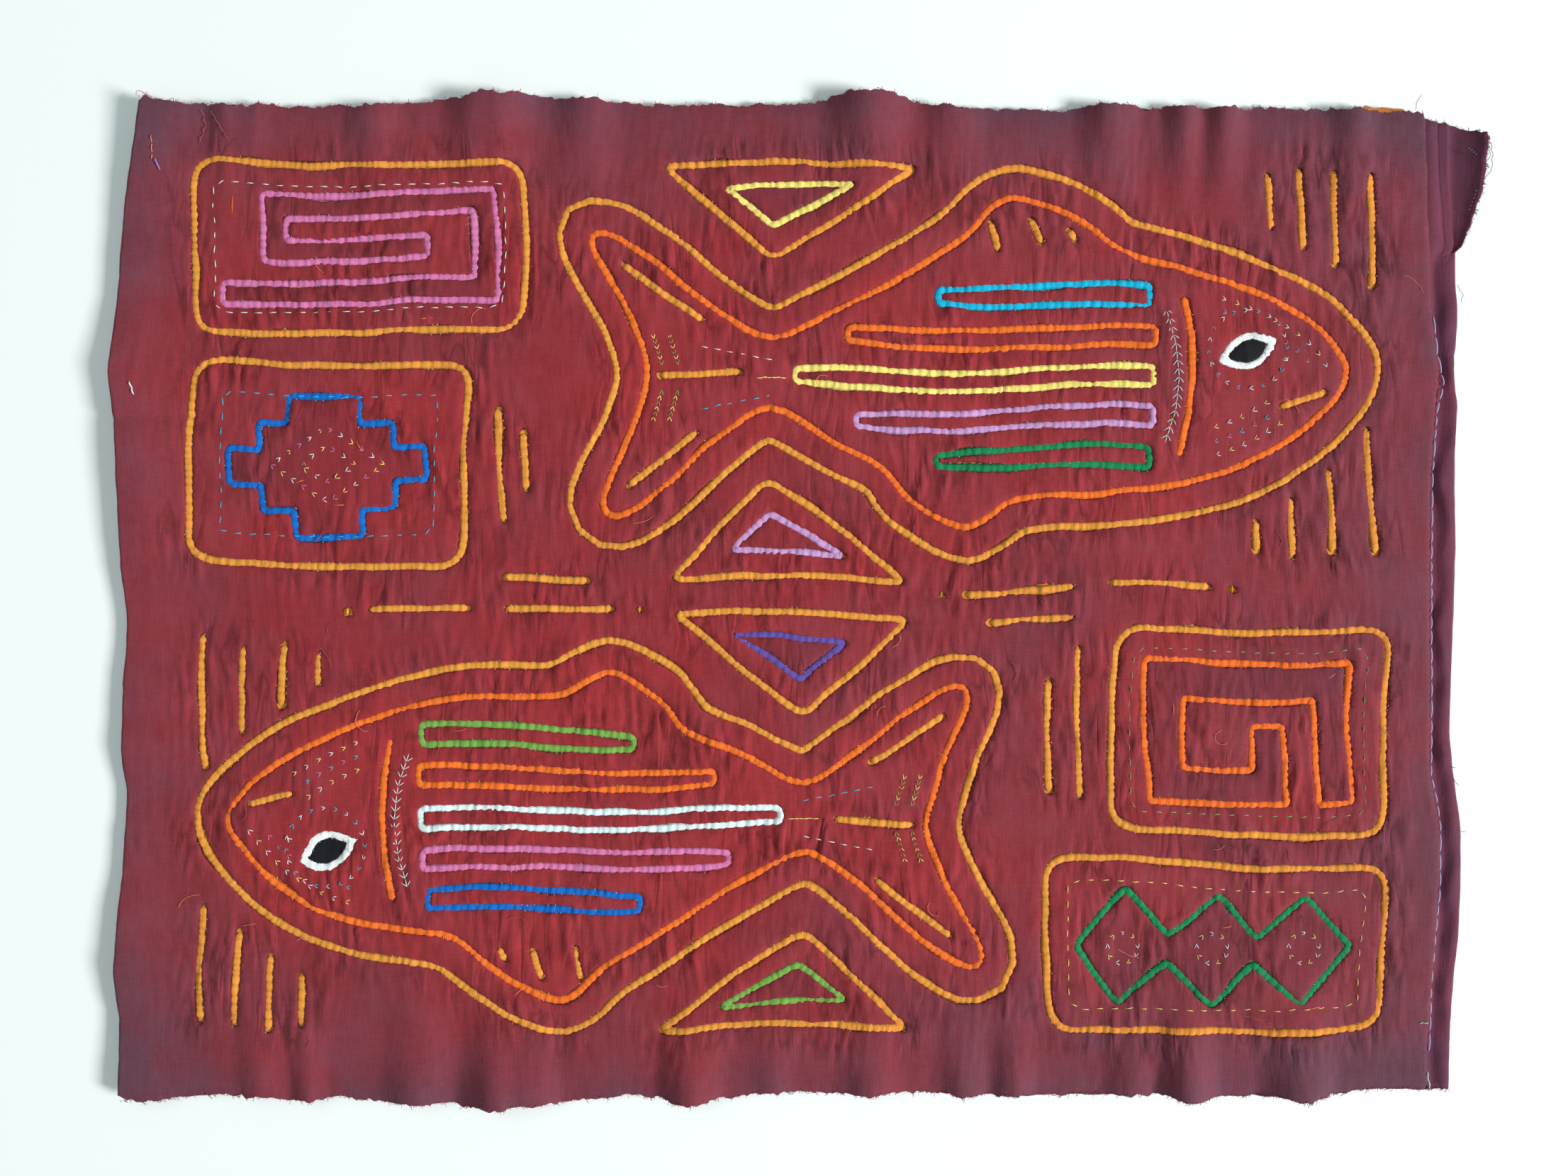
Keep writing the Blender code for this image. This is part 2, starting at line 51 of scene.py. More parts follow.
SEAM_EDGE = (  # y, x of the top cloth's right edge
    (-154.5, 198.5), (-140.6, 198.1), (-135.6, 198.5), (-121.5, 199.6), (-108, 200.8), (-90.5, 201.9),
    (-82, 202.3), (-72.1, 202.1), (-63.6, 200.8), (-55, 199), (-31.9, 199.3), (-11.9, 199.1), (10.5, 199),
    (38.8, 199.4), (51.4, 200.3), (64.4, 201.2), (72.5, 202.3), (79.4, 201), (86.4, 200.3), (92.9, 199.6),
    (153.5, 197.6),
)
FOLD_EDGE = (  # y, x of the base cloth's fold at the right
    (-151.6, 205.3), (-137, 205.6), (-121.9, 206.6), (-106.9, 208.2), (-91.9, 209.1), (-71, 209.1),
    (-53.9, 206.6), (-42.9, 205.6), (-11.9, 206.6), (19, 207.5), (33, 207.1), (52.5, 207.3), (66.4, 208.4),
    (70.7, 206.8), (93.1, 208.2), (103, 207.5), (111.1, 207.5), (160, 207.5),
)
BOTTOM_EDGE = (  # x, y of the raw edge below
    (-213.2, -157.2), (-197.5, -156.7), (-176.2, -155.4), (-158.9, -157.2), (-137.3, -156.7),
    (-127.7, -157.9), (-113.8, -158.3), (-101, -158.9), (-79.4, -158.3), (-57.9, -156.5), (-50.7, -155.6),
    (-42.6, -156.5), (-35.6, -157.6), (-25.5, -157), (-18.6, -155.6), (-5.5, -154.5), (14.4, -155.1),
    (39.6, -155.1), (72.8, -155.6), (97.9, -155.8), (113, -155.1), (122.9, -156.9), (133, -156.5),
    (150.9, -155.6), (159.9, -157), (168, -155.6), (181, -153.8), (196.1, -154.1), (205.3, -153.8),
)
TOP_EDGE = (  # x, y of the raw edge above
    (-205.6, 158.3), (-192.1, 155.6), (-176.2, 155.9), (-163.1, 155.6), (-139.6, 155.4), (-122.3, 156.4),
    (-101, 158), (-80.5, 158.7), (-68.6, 157.3), (-50.7, 156.4), (-30.7, 156), (-10.5, 156.2), (1.4, 156.4),
    (14.4, 158.7), (25.4, 158.9), (34.6, 157.6), (39.6, 156), (49.5, 155.1), (64.5, 154.6), (79.5, 154.4),
    (106.5, 154.9), (120.8, 154.9), (133, 154), (148.9, 155.1), (158.1, 154.6), (172.9, 154),
    (191.1, 153.5), (197.6, 153.5),
)
TOP_WAVES = (  # centre, half width, height at the edge
    (-179.8, 8, 2.4), (-170.8, 7, 1.4), (-133.7, 11, 3.0), (-104.5, 9, 2.4), (-94.4, 15, 5.6),
    (-66.4, 12, 3.0), (22.3, 17, 6.3), (49.2, 11, 2.5), (97.5, 12, 4.0), (121.1, 8, 3.0), (134.5, 9, 3.6),
    (173.8, 10, 3.0),
)
BOTTOM_WAVES = (
    (-168.5, 10, 2.4), (-153.9, 7, 2.2), (-120.3, 13, 3.4), (-94.4, 14, 5.2), (-82.1, 9, 3.0),
    (-33.8, 13, 4.8), (-8, 9, 1.6), (22.3, 12, 3.0), (52.6, 10, 2.6), (67.2, 9, 3.0), (104.2, 10, 2.5),
    (122.2, 12, 5.2), (157, 14, 5.0),
)
WAVE_FOOT_Y = 114  # from here the waves rise to the raw edge
LEFT_LIFT = (  # y, height of the left fold off the table
    (-156, 2.2), (-131, 1.0), (-116, 2.4), (-86, 1.0), (-60, 0.5), (-47, 1.5), (-9, 0.6), (27, 2.0),
    (72, 3.2), (95, 1.4), (125, 2.2), (157, 3.8),
)
LEFT_REACH = 24  # how far in from the fold the cloth is lifted
CREASE_Y = 67.5  # an old crease that shows in the two side margins
CREASE_FROM_X = 184
WRINKLE_PITCH = 3.6  # about how far apart the sewing's upright wrinkles are


def between(table, at):
    """The second column of a table at a value of its first."""
    if at <= table[0][0]:
        return table[0][1]
    for (a, low), (b, high) in zip(table, table[1:]):
        if at <= b:
            return low + (high - low) * (at - a) / (b - a)
    return table[-1][1]


def eased(share):
    """A smooth step from 0 to 1."""
    share = min(1.0, max(0.0, share))
    return share * share * (3 - 2 * share)


def rough(x, y, size, seed):
    """Smooth noise from -1 to 1 with features about this large."""
    return noise.noise(Vector((x / size, y / size, seed)))


def lie(x, y):
    """Height that all the cloths have in common at a place."""
    height = 0.75 + 0.6 * rough(x, y, 52, 2.0) + 0.3 * rough(x, y, 19, 9.0)
    if abs(y) > WAVE_FOOT_Y:
        edge, waves = (TOP_EDGE, TOP_WAVES) if y > 0 else (BOTTOM_EDGE, BOTTOM_WAVES)
        reach = max(0.0, (abs(y) - WAVE_FOOT_Y) / (abs(between(edge, x)) - WAVE_FOOT_Y)) ** 1.5
        across = x + 0.12 * (160 - abs(y)) * rough(x, 0, 30, 4.0)
        for centre, half_width, crest in waves:
            offset = abs(across - centre) / half_width
            if offset < 1:
                height += reach * crest * (1 + math.cos(math.pi * offset)) / 2
    inset = x - between(LEFT_EDGE, y)
    if inset < LEFT_REACH:
        height += between(LEFT_LIFT, y) * (1 - eased(inset / LEFT_REACH))
    if abs(x) > CREASE_FROM_X:
        height -= 0.6 * math.exp(-(((y - CREASE_Y - 0.05 * x) / 1.1) ** 2))
    return max(0.05, height)


def wrinkle(x, y):
    """The upright wrinkles that the sewing draws into the cloth: round on top, with sharp valleys."""
    drift = x + 7 * rough(x, y, 60, 5.0)
    strength = min(1.0, max(0.25, 0.7 + 0.9 * rough(x, y, 30, 11.0)))
    broad = abs(noise.noise(Vector((drift / WRINKLE_PITCH, y / 13, 4.0)))) - 0.2
    fine = abs(noise.noise(Vector((drift / 2.1, y / 7, 6.0)))) - 0.2
    return strength * (1.7 * broad + 0.8 * fine)


def edge_at(table, at):
    """A place on an edge, without the table's corners."""
    return (between(table, at - 3) + 2 * between(table, at) + between(table, at + 3)) / 4


BASE_LEVEL = 0.25  # the middle of each cloth's thickness above the table, where all lie flat
CLOTH_THICK = 0.3
ROWS = 130
ROW_FROM_Y, ROW_SPAN = -155, 308
BASE_SPANS = 125
TUCKED_UNDER = 7  # the base cloth ends this far inside the left fold
HEM_SECTION = (  # share of the way from seam to fold, height when folded, height when opened
    (0.0, 0.95, 1.9), (0.09, 0.6, 2.0), (0.2, 0.55, 1.8), (0.32, 1.0, 0.8), (0.45, 1.7, 2.2),
    (0.56, 2.1, 0.95), (0.66, 2.25, 0.6), (0.76, 2.2, 0.65), (0.86, 2.05, 0.9), (0.94, 1.65, 1.15),
    (1.0, 1.1, 1.4), (0.96, 0.6, 1.75), (0.88, 0.32, 2.2), (0.75, 0.25, 2.8), (0.5, 0.25, 3.5),
)
HEM_TOP = 11  # the hem's points before its fold
ON_PANEL = 4  # the last of them on the panel where the hem is opened into the flap
FLAP_CREASE = ((108, 207.4), (111, 207.1), (118.5, 205.9), (126.1, 205.3), (136.9, 203.9), (160, 203.9))
FLAP_EDGE = (  # y, x of the flap's raw edge
    (108, 207.4), (111, 207.5), (117, 209.8), (123, 212), (131.1, 214.2), (139.1, 215.8), (147.2, 215.4),
)
FLAP_FROM_X = 197.6
FLAP_TOP = ((FLAP_FROM_X, 151.3), (206.1, 149.9), (215.4, 147.2))
FLAP_RISE = ((108, 0.2), (118, 0.5), (131, 0.85), (147, 1.3))
FLAP_FOOT_Y = 108.5
MAROON = (0.245, 0.038, 0.056)
MAROON_DARK = (0.110, 0.031, 0.060)


class Dye:
    """A shader socket. Arithmetic on it adds Math nodes, and node() adds any other kind."""

    def __init__(self, socket):
        self.socket = socket

    def node(self, kind, inputs, output=0, **settings):
        """Adds a node, sets its settings, then the values or links of its sockets."""
        made = self.socket.id_data.nodes.new(f"ShaderNode{kind}")
        for setting, value in settings.items():
            setattr(made, setting, value)
        for key, value in inputs.items():
            if isinstance(value, Dye):
                made.id_data.links.new(value.socket, made.inputs[key])
            else:
                made.inputs[key].default_value = value
        return Dye(made.outputs[output])

    def worked(self, operation, a, b):
        """One step of arithmetic."""
        return self.node("Math", {0: a, 1: b}, operation=operation)

    __add__ = __radd__ = lambda self, other: self.worked("ADD", self, other)
    __sub__ = lambda self, other: self.worked("SUBTRACT", self, other)
    __rsub__ = lambda self, other: self.worked("SUBTRACT", other, self)
    __mul__ = __rmul__ = lambda self, other: self.worked("MULTIPLY", self, other)
    __pow__ = lambda self, other: self.worked("POWER", self, other)


def cotton(name, colour, bloom, patch=0.8, crease_shade=0.5, relief=0.12, sheen=0.04):
    """Woven dyed cotton, washed out in patches towards a second colour, which also tints the margins and the
    right side as its own tone together with painted shade and sheen. Painted shade darkens its hollows and
    the crease valleys where sewing gathers it, and the cloth is creased there."""
    dyed = bpy.data.materials.new(name)
    dyed.use_nodes = True
    shader = dyed.node_tree.nodes["Principled BSDF"]
    start = Dye(shader.outputs[0])
    place = start.node("TexCoord", {}, "Object")
    hollow_shade = start.node("Attribute", {}, "Fac", attribute_name="hollow_shade")
    gathered = start.node("Attribute", {}, "Fac", attribute_name="gathered")
    wash = start.node("TexNoise", {"Vector": place, "Scale": 20, "Detail": 3, "Roughness": 0.55})
    mottle = start.node("TexNoise", {"Vector": place, "Scale": 95, "Detail": 5, "Roughness": 0.6})
    upright = start.node("VectorMath", {0: place, 1: (1, 0.22, 1)}, operation="MULTIPLY")
    streaks = start.node("TexNoise", {"Vector": upright, "Scale": 165, "Detail": 2, "Distortion": 0.5})
    along = start.node("VectorMath", {0: place, 1: (1, 0.12, 1)}, operation="MULTIPLY")
    across = start.node("VectorMath", {0: place, 1: (0.12, 1, 1)}, operation="MULTIPLY")
    warp = start.node("TexNoise", {"Vector": along, "Scale": 1900, "Detail": 1})
    weft = start.node("TexNoise", {"Vector": across, "Scale": 1900, "Detail": 1})
    aside = start.node("SeparateXYZ", {"Vector": place}, "X")
    upwards = start.node("SeparateXYZ", {"Vector": place}, "Y")
    # The second colour comes in patches, which is the cloth's own uneven tone, and grows towards the margins
    # and the right side, where it is the cloth's own tone together with painted shade and sheen.
    rim = (aside * aside * 20.5) ** 3 + (upwards * upwards * 38) ** 3
    tone_and_shade_share = (wash - 0.5) * 1.5 * patch + (mottle - 0.5) * 0.8 * patch + rim * 0.95 * patch + aside * 0.9 + 0.16
    toned_colour = start.node(
        "Mix", {0: tone_and_shade_share, 6: (*colour, 1), 7: (*bloom, 1)}, 2, data_type="RGBA", clamp_factor=True,
    )
    # Painted shade: a thin dark line along each crease valley where the sewing gathers the cloth.
    crease = start.node("Math", {0: streaks - 0.5}, operation="ABSOLUTE")
    valley_shade = start.node("Math", {0: 1 - crease * 18, 1: gathered}, operation="MULTIPLY", use_clamp=True)
    shade = (mottle - 0.5) * 0.6 + (warp + weft - 1) * 0.24 + 1.02 - valley_shade * 0.7 * crease_shade
    # Painted shade in hollows and creases, as much as each point's value asks.
    deep = shade * (1 - hollow_shade * 0.75)
    tone = start.node("Mix", {0: 1.0, 6: toned_colour, 7: deep}, 2, data_type="RGBA", blend_type="MULTIPLY")
    dyed.node_tree.links.new(tone.socket, shader.inputs["Base Color"])
    raised = (warp + weft) * 0.07 + mottle * 0.1 + crease * gathered * relief * 12
    bump = start.node("Bump", {"Height": raised, "Distance": MM, "Strength": 1.0})
    dyed.node_tree.links.new(bump.socket, shader.inputs["Normal"])
    dullness = 0.76 + mottle * 0.2
    dyed.node_tree.links.new(dullness.socket, shader.inputs["Roughness"])
    shader.inputs["Sheen Weight"].default_value = sheen
    shader.inputs["Specular IOR Level"].default_value = 0.14
    return dyed


def made_piece(name, points, faces, material, slot, *stands_for):
    """A smooth piece from points in millimetres, which stands for its solids. A point's further values say
    how much painted shade it gets in a hollow or crease, and how much the sewing gathers the cloth there."""
    mesh = bpy.data.meshes.new(f"{name}_sewn")
    mesh.from_pydata([(x * MM, y * MM, z * MM) for x, y, z, *_ in points], [], faces)
    for column, what in enumerate(("hollow_shade", "gathered")[:len(points[0]) - 3], 3):
        layer = mesh.attributes.new(what, "FLOAT", "POINT")
        layer.data.foreach_set("value", [point[column] for point in points])
    mesh.polygons.foreach_set("use_smooth", [True] * len(mesh.polygons))
    mesh.materials.append(material)
    made = bpy.data.objects.new(f"{name}_sewn", mesh)
    bpy.context.scene.collection.objects.link(made)
    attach(made, "root")
    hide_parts(*stands_for)
    return made


def quads_between(rows, wide, first=0, closed=False):
    """The quads between rows of this many points each; closed joins the last row to the first."""
    starts = [(first + i * wide, first + (i + 1) % rows * wide) for i in range(rows if closed else rows - 1)]
    return [(a + k, a + k + 1, b + k + 1, b + k) for a, b in starts for k in range(wide - 1)]


def woven_grid(rows):
    """Points and quads of a sheet given row by row."""
    return [point for row in rows for point in row], quads_between(len(rows), len(rows[0]))


def thicken(piece):
    """Gives a sheet its cloth's thickness."""
    modifier = piece.modifiers.new("cloth", "SOLIDIFY")
    modifier.thickness = CLOTH_THICK * MM
    modifier.offset = 0


def frayed(x, seed):
    """How far a raw edge is ragged at a place along it."""
    broad, middling, fine = rough(x, 2, 7, seed), rough(x, 2, 2.6, seed + 0.3), rough(x, 2, 1.3, seed + 0.6)
    return 0.8 * broad + 0.8 * middling + 0.7 * fine


def base_row(share):
    """One row of the base cloth's points, this share of the way from its lower edge to its upper edge."""
    nominal = ROW_FROM_Y + ROW_SPAN * share
    left, seam = between(LEFT_EDGE, nominal) + TUCKED_UNDER, edge_at(SEAM_EDGE, nominal)
    stations = [(left + (seam - left) * i / BASE_SPANS, None) for i in range(BASE_SPANS)]
    opened = eased((nominal - FLAP_FOOT_Y) / 6)
    fold = edge_at(FOLD_EDGE, nominal)
    crease, raw = edge_at(FLAP_CREASE, nominal), between(FLAP_EDGE, nominal)
    swell = 1 + 0.3 * rough(nominal, 0, 14, 21.0) + 0.2 * rough(nominal, 0, 5, 22.0)
    last = len(HEM_SECTION) - 1
    for i, (across, folded_z, open_z) in enumerate(HEM_SECTION):
        inner = 1 - abs(2 * across - 1) if i < HEM_TOP else 0.0
        folded_x = seam + across * (fold - seam) + 2.4 * inner * rough(nominal, 4 * across, 16, 25.0)
        folded_z += 1.3 * inner * rough(nominal, 9 * across, 9, 26.0)
        bent = 0.5 * rough(nominal, i, 11, 23.0) if i < last else 0.0
        if i <= ON_PANEL:
            open_x = seam + (crease - seam) * i / ON_PANEL
        else:
            flap = raw - crease + 0.8 * frayed(nominal, 33.0)
            open_x = crease + flap * (i - ON_PANEL) / (last - ON_PANEL)
            open_z *= between(FLAP_RISE, nominal)
        stations.append((
            folded_x + opened * (open_x - folded_x),
            max(0.2, folded_z * swell * (1 - opened) + opened * (open_z + bent)),
        ))
    row = []
    for x, height in stations:
        low = edge_at(BOTTOM_EDGE, x)
        high = edge_at(TOP_EDGE, x) - 0.5 if x < FLAP_FROM_X else between(FLAP_TOP, x)
        y = low + share * (high - low)
        if height is None:
            height = BASE_LEVEL + 0.7 * eased((x - seam + 9) / 9)
        if share in (0, 1):
            y += frayed(x, 31.0)
        common = lie(x, y) - 0.7 * eased((x - seam) / 6)
        row.append((x, y, max(CLOTH_THICK / 2 + 0.03, height + common)))
    return row


red_under = cotton("base_cotton", MAROON, MAROON_DARK)
base_rows = [base_row(i / ROWS) for i in range(ROWS + 1)]
base_cloth = made_piece("base_cloth", *woven_grid(base_rows), red_under, "red_cotton", "base_cloth")
thicken(base_cloth)

# The amber cloth: one layer of golden cotton between the base and the top cloth. It shows along a strip of
# the upper edge and, drawn up into narrow padded ridges by the sewing, in every line cut in the top cloth.
AMBER_LEVEL = 0.95
AMBER = (0.770, 0.318, 0.050)
AMBER_DEEP = (0.660, 0.212, 0.032)
AMBER_SPANS = 126
PEEK = (177, 191, 2.3)  # where it shows beyond the top cloth, and how much further it reaches


def amber_row(share):
    """One row of the amber cloth's points."""
    nominal = ROW_FROM_Y + ROW_SPAN * share
    left, seam = between(LEFT_EDGE, nominal) + 2.2, between(SEAM_EDGE, nominal) - 0.8
    row = []
    for i in range(AMBER_SPANS + 1):
        x = left + (seam - left) * i / AMBER_SPANS
        low, high = edge_at(BOTTOM_EDGE, x) + 1.2, edge_at(TOP_EDGE, x) - 1.3
        if PEEK[0] < x < PEEK[1]:
            high += PEEK[2]
        y = low + share * (high - low)
        if share in (0, 1):
            y += frayed(x, 41.0)
        row.append((x, y, AMBER_LEVEL + lie(x, y)))
    return row


golden = cotton("amber_cotton", AMBER, AMBER_DEEP, patch=0.6, crease_shade=0.3, relief=0.05)
amber_rows = [amber_row(i / ROWS) for i in range(ROWS + 1)]
amber_cloth = made_piece("amber_cloth", *woven_grid(amber_rows), golden, "amber_cotton", "amber_cloth")
thicken(amber_cloth)

# The lines of the design: each is cut by hand through the top cloth, whose edge is turned under on both
# sides and whipped down, so that the cloth below swells up between the edges as a narrow ridge.
LINE = 2.8  # width of a cut line
WOBBLE = 0.9  # how far the hand strays from the plan
RIDGE_STEP = 0.5
RIDGE_HALF = 1.45
RIDGE_LEVEL = 1.15
RIDGE_CROWN = 0.85
RIDGE_SECTION = (  # share of the half width, share of the crown
    (-1, 0), (-0.76, 0.68), (-0.42, 0.95), (0, 1), (0.42, 0.97), (0.76, 0.72), (1, 0),
)
STITCH_PITCH = 2.25
CUT_STEP = 0.9


def hand_cut(x, y):
    """A point of the design, moved as scissors in the hand would."""
    across = math.sin(0.071 * y + 0.9) + 0.6 * math.sin(0.11 * x + 0.05 * y)
    along = math.sin(0.063 * x + 1.7) + 0.6 * math.sin(0.09 * y - 0.04 * x + 0.5)
    return (
        x + WOBBLE * across + 0.5 * rough(x, y, 13, 51.0) + 0.16 * rough(x, y, 4, 52.0),
        y + WOBBLE * along + 0.5 * rough(x, y, 13, 53.0) + 0.16 * rough(x, y, 4, 54.0),
    )


def anticlockwise(loop):
    """The loop's points, turned round if they run clockwise."""
    area = sum(a[0] * b[1] - b[0] * a[1] for a, b in zip(loop, loop[1:] + loop[:1]))
    return loop if area > 0 else loop[::-1]


def with_neighbours(loop):
    """Each point of a closed loop, between the one before it and the one after it."""
    return zip(loop[-1:] + loop[:-1], loop, loop[1:] + loop[:1])


def evened(loop, step, closed=True):
    """Points at even steps along a line."""
    line = loop + loop[:1] if closed else loop
    lengths = [math.dist(a, b) for a, b in zip(line, line[1:])]
    total = sum(lengths)
    count = max(6, round(total / step))
    points, i, passed = [], 0, 0.0
    for k in range(count if closed else count + 1):
        at = total * k / count
        while i < len(lengths) - 1 and passed + lengths[i] < at:
            passed += lengths[i]
            i += 1
        share = min(1.0, (at - passed) / max(lengths[i], 1e-9))
        a, b = line[i], line[i + 1]
        points.append((a[0] + share * (b[0] - a[0]), a[1] + share * (b[1] - a[1])))
    return points


def parallel(loop, distance):
    """The closed loop moved sideways, outwards if distance is positive, with mitred corners."""
    moved = []
    for before, here, after in with_neighbours(loop):
        first = math.atan2(here[1] - before[1], here[0] - before[0])
        second = math.atan2(after[1] - here[1], after[0] - here[0])
        half_turn = (second - first + math.pi) % (2 * math.pi) / 2 - math.pi / 2
        outwards = first + half_turn - math.pi / 2
        reach = distance / max(0.4, math.cos(half_turn))
        moved.append((here[0] + reach * math.cos(outwards), here[1] + reach * math.sin(outwards)))
    return moved


def rounded(corners, radius):
    """A closed outline with each corner turned into a short curve."""
    outline = []
    for before, here, after in with_neighbours(corners):
        start, end = (
            [h + min(0.4, radius / math.dist(here, other)) * (o - h) for h, o in zip(here, other)]
            for other in (before, after)
        )
        for step in range(6):
            t = step / 5
            outline.append(tuple(
                (1 - t) ** 2 * a + 2 * t * (1 - t) * b + t * t * c for a, b, c in zip(start, here, end)
            ))
    return outline


def placed(points, centre, facing=1):
    """Points of a motif's own plan on the panel, turned half round if facing is -1."""
    return [(centre[0] + facing * x, centre[1] + facing * y) for x, y in points]


class CutLine:
    """A closed line cut through cloth by hand, which can be drawn any distance outside or inside."""

    def __init__(self, corners, radius=0.0, centre=(0, 0), facing=1):
        self.corners = anticlockwise(placed(corners, centre, facing))
        self.radius = radius

    def at(self, offset):
        """The loop this far outside the line, or inside it if negative."""
        loop = parallel(self.corners, offset) if offset else self.corners
        if self.radius:
            loop = rounded(loop, max(0.5, self.radius + offset))
        return [hand_cut(x, y) for x, y in evened(loop, CUT_STEP)]


def slit_outline(start, end):
    """The outline of a slit with round ends, from start to end."""
    angle = math.atan2(end[1] - start[1], end[0] - start[0])
    outline = []
    for centre, turn in ((end, -math.pi / 2), (start, math.pi / 2)):
        for step in range(7):
            a = angle + turn + math.pi * step / 6
            outline.append((centre[0] + LINE / 2 * math.cos(a), centre[1] + LINE / 2 * math.sin(a)))
    return outline


def stitch_places(length, seed):
    """Distances of hand stitches along an edge."""
    chance = random.Random(seed)
    places, at = [], 0.4
    while at < length - 0.6:
        places.append(at)
        at += STITCH_PITCH * chance.uniform(0.6, 1.5)
    return places


def dents(count, step, seed):
    """How hard a stitch pinches at each of evenly spaced points."""
    places = stitch_places(count * step, seed)
    pinch = [0.0] * count
    for place in places:
        middle = round(place / step)
        for k in range(middle - 2, middle + 3):
            pinch[k % count] = max(pinch[k % count], math.exp(-(((k * step - place) / 0.5) ** 2)))
    return pinch


class Ridges:
    """Padded ridges of one cloth that show in the cut lines, gathered as one mesh."""

    def __init__(self):
        self.points, self.faces = [], []

    def add(self, line, closed=True):
        """Adds a ridge along a line, tapering at its ends if it is open."""
        path = evened(line, RIDGE_STEP, closed)
        count, wide, first = len(path), len(RIDGE_SECTION), len(self.points)
        pinch = dents(count, RIDGE_STEP, first)
        for i, (x, y) in enumerate(path):
            ahead = path[(i + 1) % count] if closed or i < count - 1 else path[i]
            behind = path[i - 1] if closed or i else path[i]
            length = math.dist(ahead, behind)
            nx, ny = (ahead[1] - behind[1]) / length, (behind[0] - ahead[0]) / length
            near_end = 1.0 if closed else min(1.0, (min(i, count - 1 - i) * RIDGE_STEP + 0.15) / 1.3) ** 0.5
            half = RIDGE_HALF * near_end * (1 - 0.08 * pinch[i])
            swell = 1 + 0.3 * rough(x, y, 9, 61.0)
            for across, height in RIDGE_SECTION:
                lag = 0.5 * across * (pinch[i] - pinch[i - 1])
                px, py = x + nx * half * across, y + ny * half * across
                top = RIDGE_CROWN * height * swell * near_end
                dip = 0.25 * (pinch[i] + lag) * height
                grain = 0.08 * rough(px, py, 0.9, 63.0) + 0.5 * wrinkle(px, py)
                # Painted shade on the ridge's flanks, where it runs under the turned edges, and in the
                # stitches' dents.
                hollow_shade = max(0.0, abs(across) - 0.55) * 1.4 + 0.2 * pinch[i]
                self.points.append((
                    px, py, RIDGE_LEVEL + top - dip + grain * height + lie(px, py), hollow_shade,
                ))
        self.faces += quads_between(count, wide, first, closed)


amber_lines = Ridges()

# The top cloth: one piece of dark red cotton, raw above and below and turned under along the left. A window
# is cut out round each motif and a slit for each plain line, and their edges are turned under.
TOP_LEVEL = 1.85
EDGE_STEP = 0.75
FIELD_PITCH = (0.95, 2.1)
FIELD_FROM = 1.25  # the even points of a cloth start this far inside its edges
RINGS = ((0.16, 1), (0.42, 1), (0.85, 2))  # rows of points inside an edge: inset, every how many
EDGE_DROP = 0.9  # how far a turned edge curves down, and over what width
EDGE_ROUND = 0.5
PLUMP = 0.28  # how far the cloth rises between its edges
RED = (0.292, 0.028, 0.035)
RED_BLOOM = (0.118, 0.043, 0.067)
LEFT_ROLL = (  # inset from the fold and height, from the upper side round it to the turned-under end
    (0.45, -0.22), (0.1, -0.62), (0.0, -1.0), (0.15, -1.35), (0.6, -1.62), (1.6, -1.7), (6.5, -1.7),
)
SLITS = (  # the two ends of each plain line
    ((149, 118), (149, 135)), ((159, 112), (159, 136)), ((169, 106), (169, 135)), ((180, 98), (180, 134)),
    ((144, 16), (144, 26)), ((155, 14), (155, 33)), ((167, 15), (167, 42)), ((180, 14), (180, 54)),
    ((-156, -117), (-156, -133)), ((-166, -111), (-166, -135)), ((-176, -104), (-176, -134)),
    ((-187, -96), (-187, -133)), ((-151, -15), (-151, -25)), ((-162, -13), (-162, -32)),
    ((-174, -14), (-174, -41)), ((-187, -12), (-187, -53)),
    ((52, 3), (86, 4)), ((60, -6), (86, -6)), ((98, 5), (128, 4)), ((-59, -2), (-93, -3)),
    ((-67, 7), (-93, 7)), ((-105, -3), (-135, -2)),
    ((-93, 24), (-93, 60)), ((-85, 34), (-85, 52)), ((88, -16), (88, -62)), ((79, -26), (79, -60)),
    ((-143, -2.6), (-142, -2.6)), ((135, 3.6), (136, 3.6)), ((44.5, 3), (45, 3)),
    ((-51, -2.4), (-50.5, -2.4)),
)
whip_places = []


def turned_edge(loop, cloth_inside):
    """A cut edge turned under by hand: its points, the way out of the cloth, and the stitches' pinch."""
    path = evened(loop, EDGE_STEP)
    count = len(path)
    seed = round(path[0][0] * 31 + path[0][1] * 17 + count)
    out = 1 if cloth_inside else -1
    edge = []
    for (behind, (x, y), ahead), pinch in zip(with_neighbours(path), dents(count, EDGE_STEP, seed)):
        length = max(math.dist(ahead, behind), 1e-6)
        nx, ny = out * (ahead[1] - behind[1]) / length, out * (behind[0] - ahead[0]) / length
        slack = 1.1 * rough(x, y, 12, 71.0 + out) + 0.24 * rough(x, y, 2.4, 73.0 + out) - 0.2 * pinch
        edge.append((x + nx * slack, y + ny * slack, nx, ny, pinch))
    for place in stitch_places(count * EDGE_STEP, seed):
        x, y, nx, ny, _ = edge[round(place / EDGE_STEP) % count]
        whip_places.append((x, y, nx, ny))
    return edge


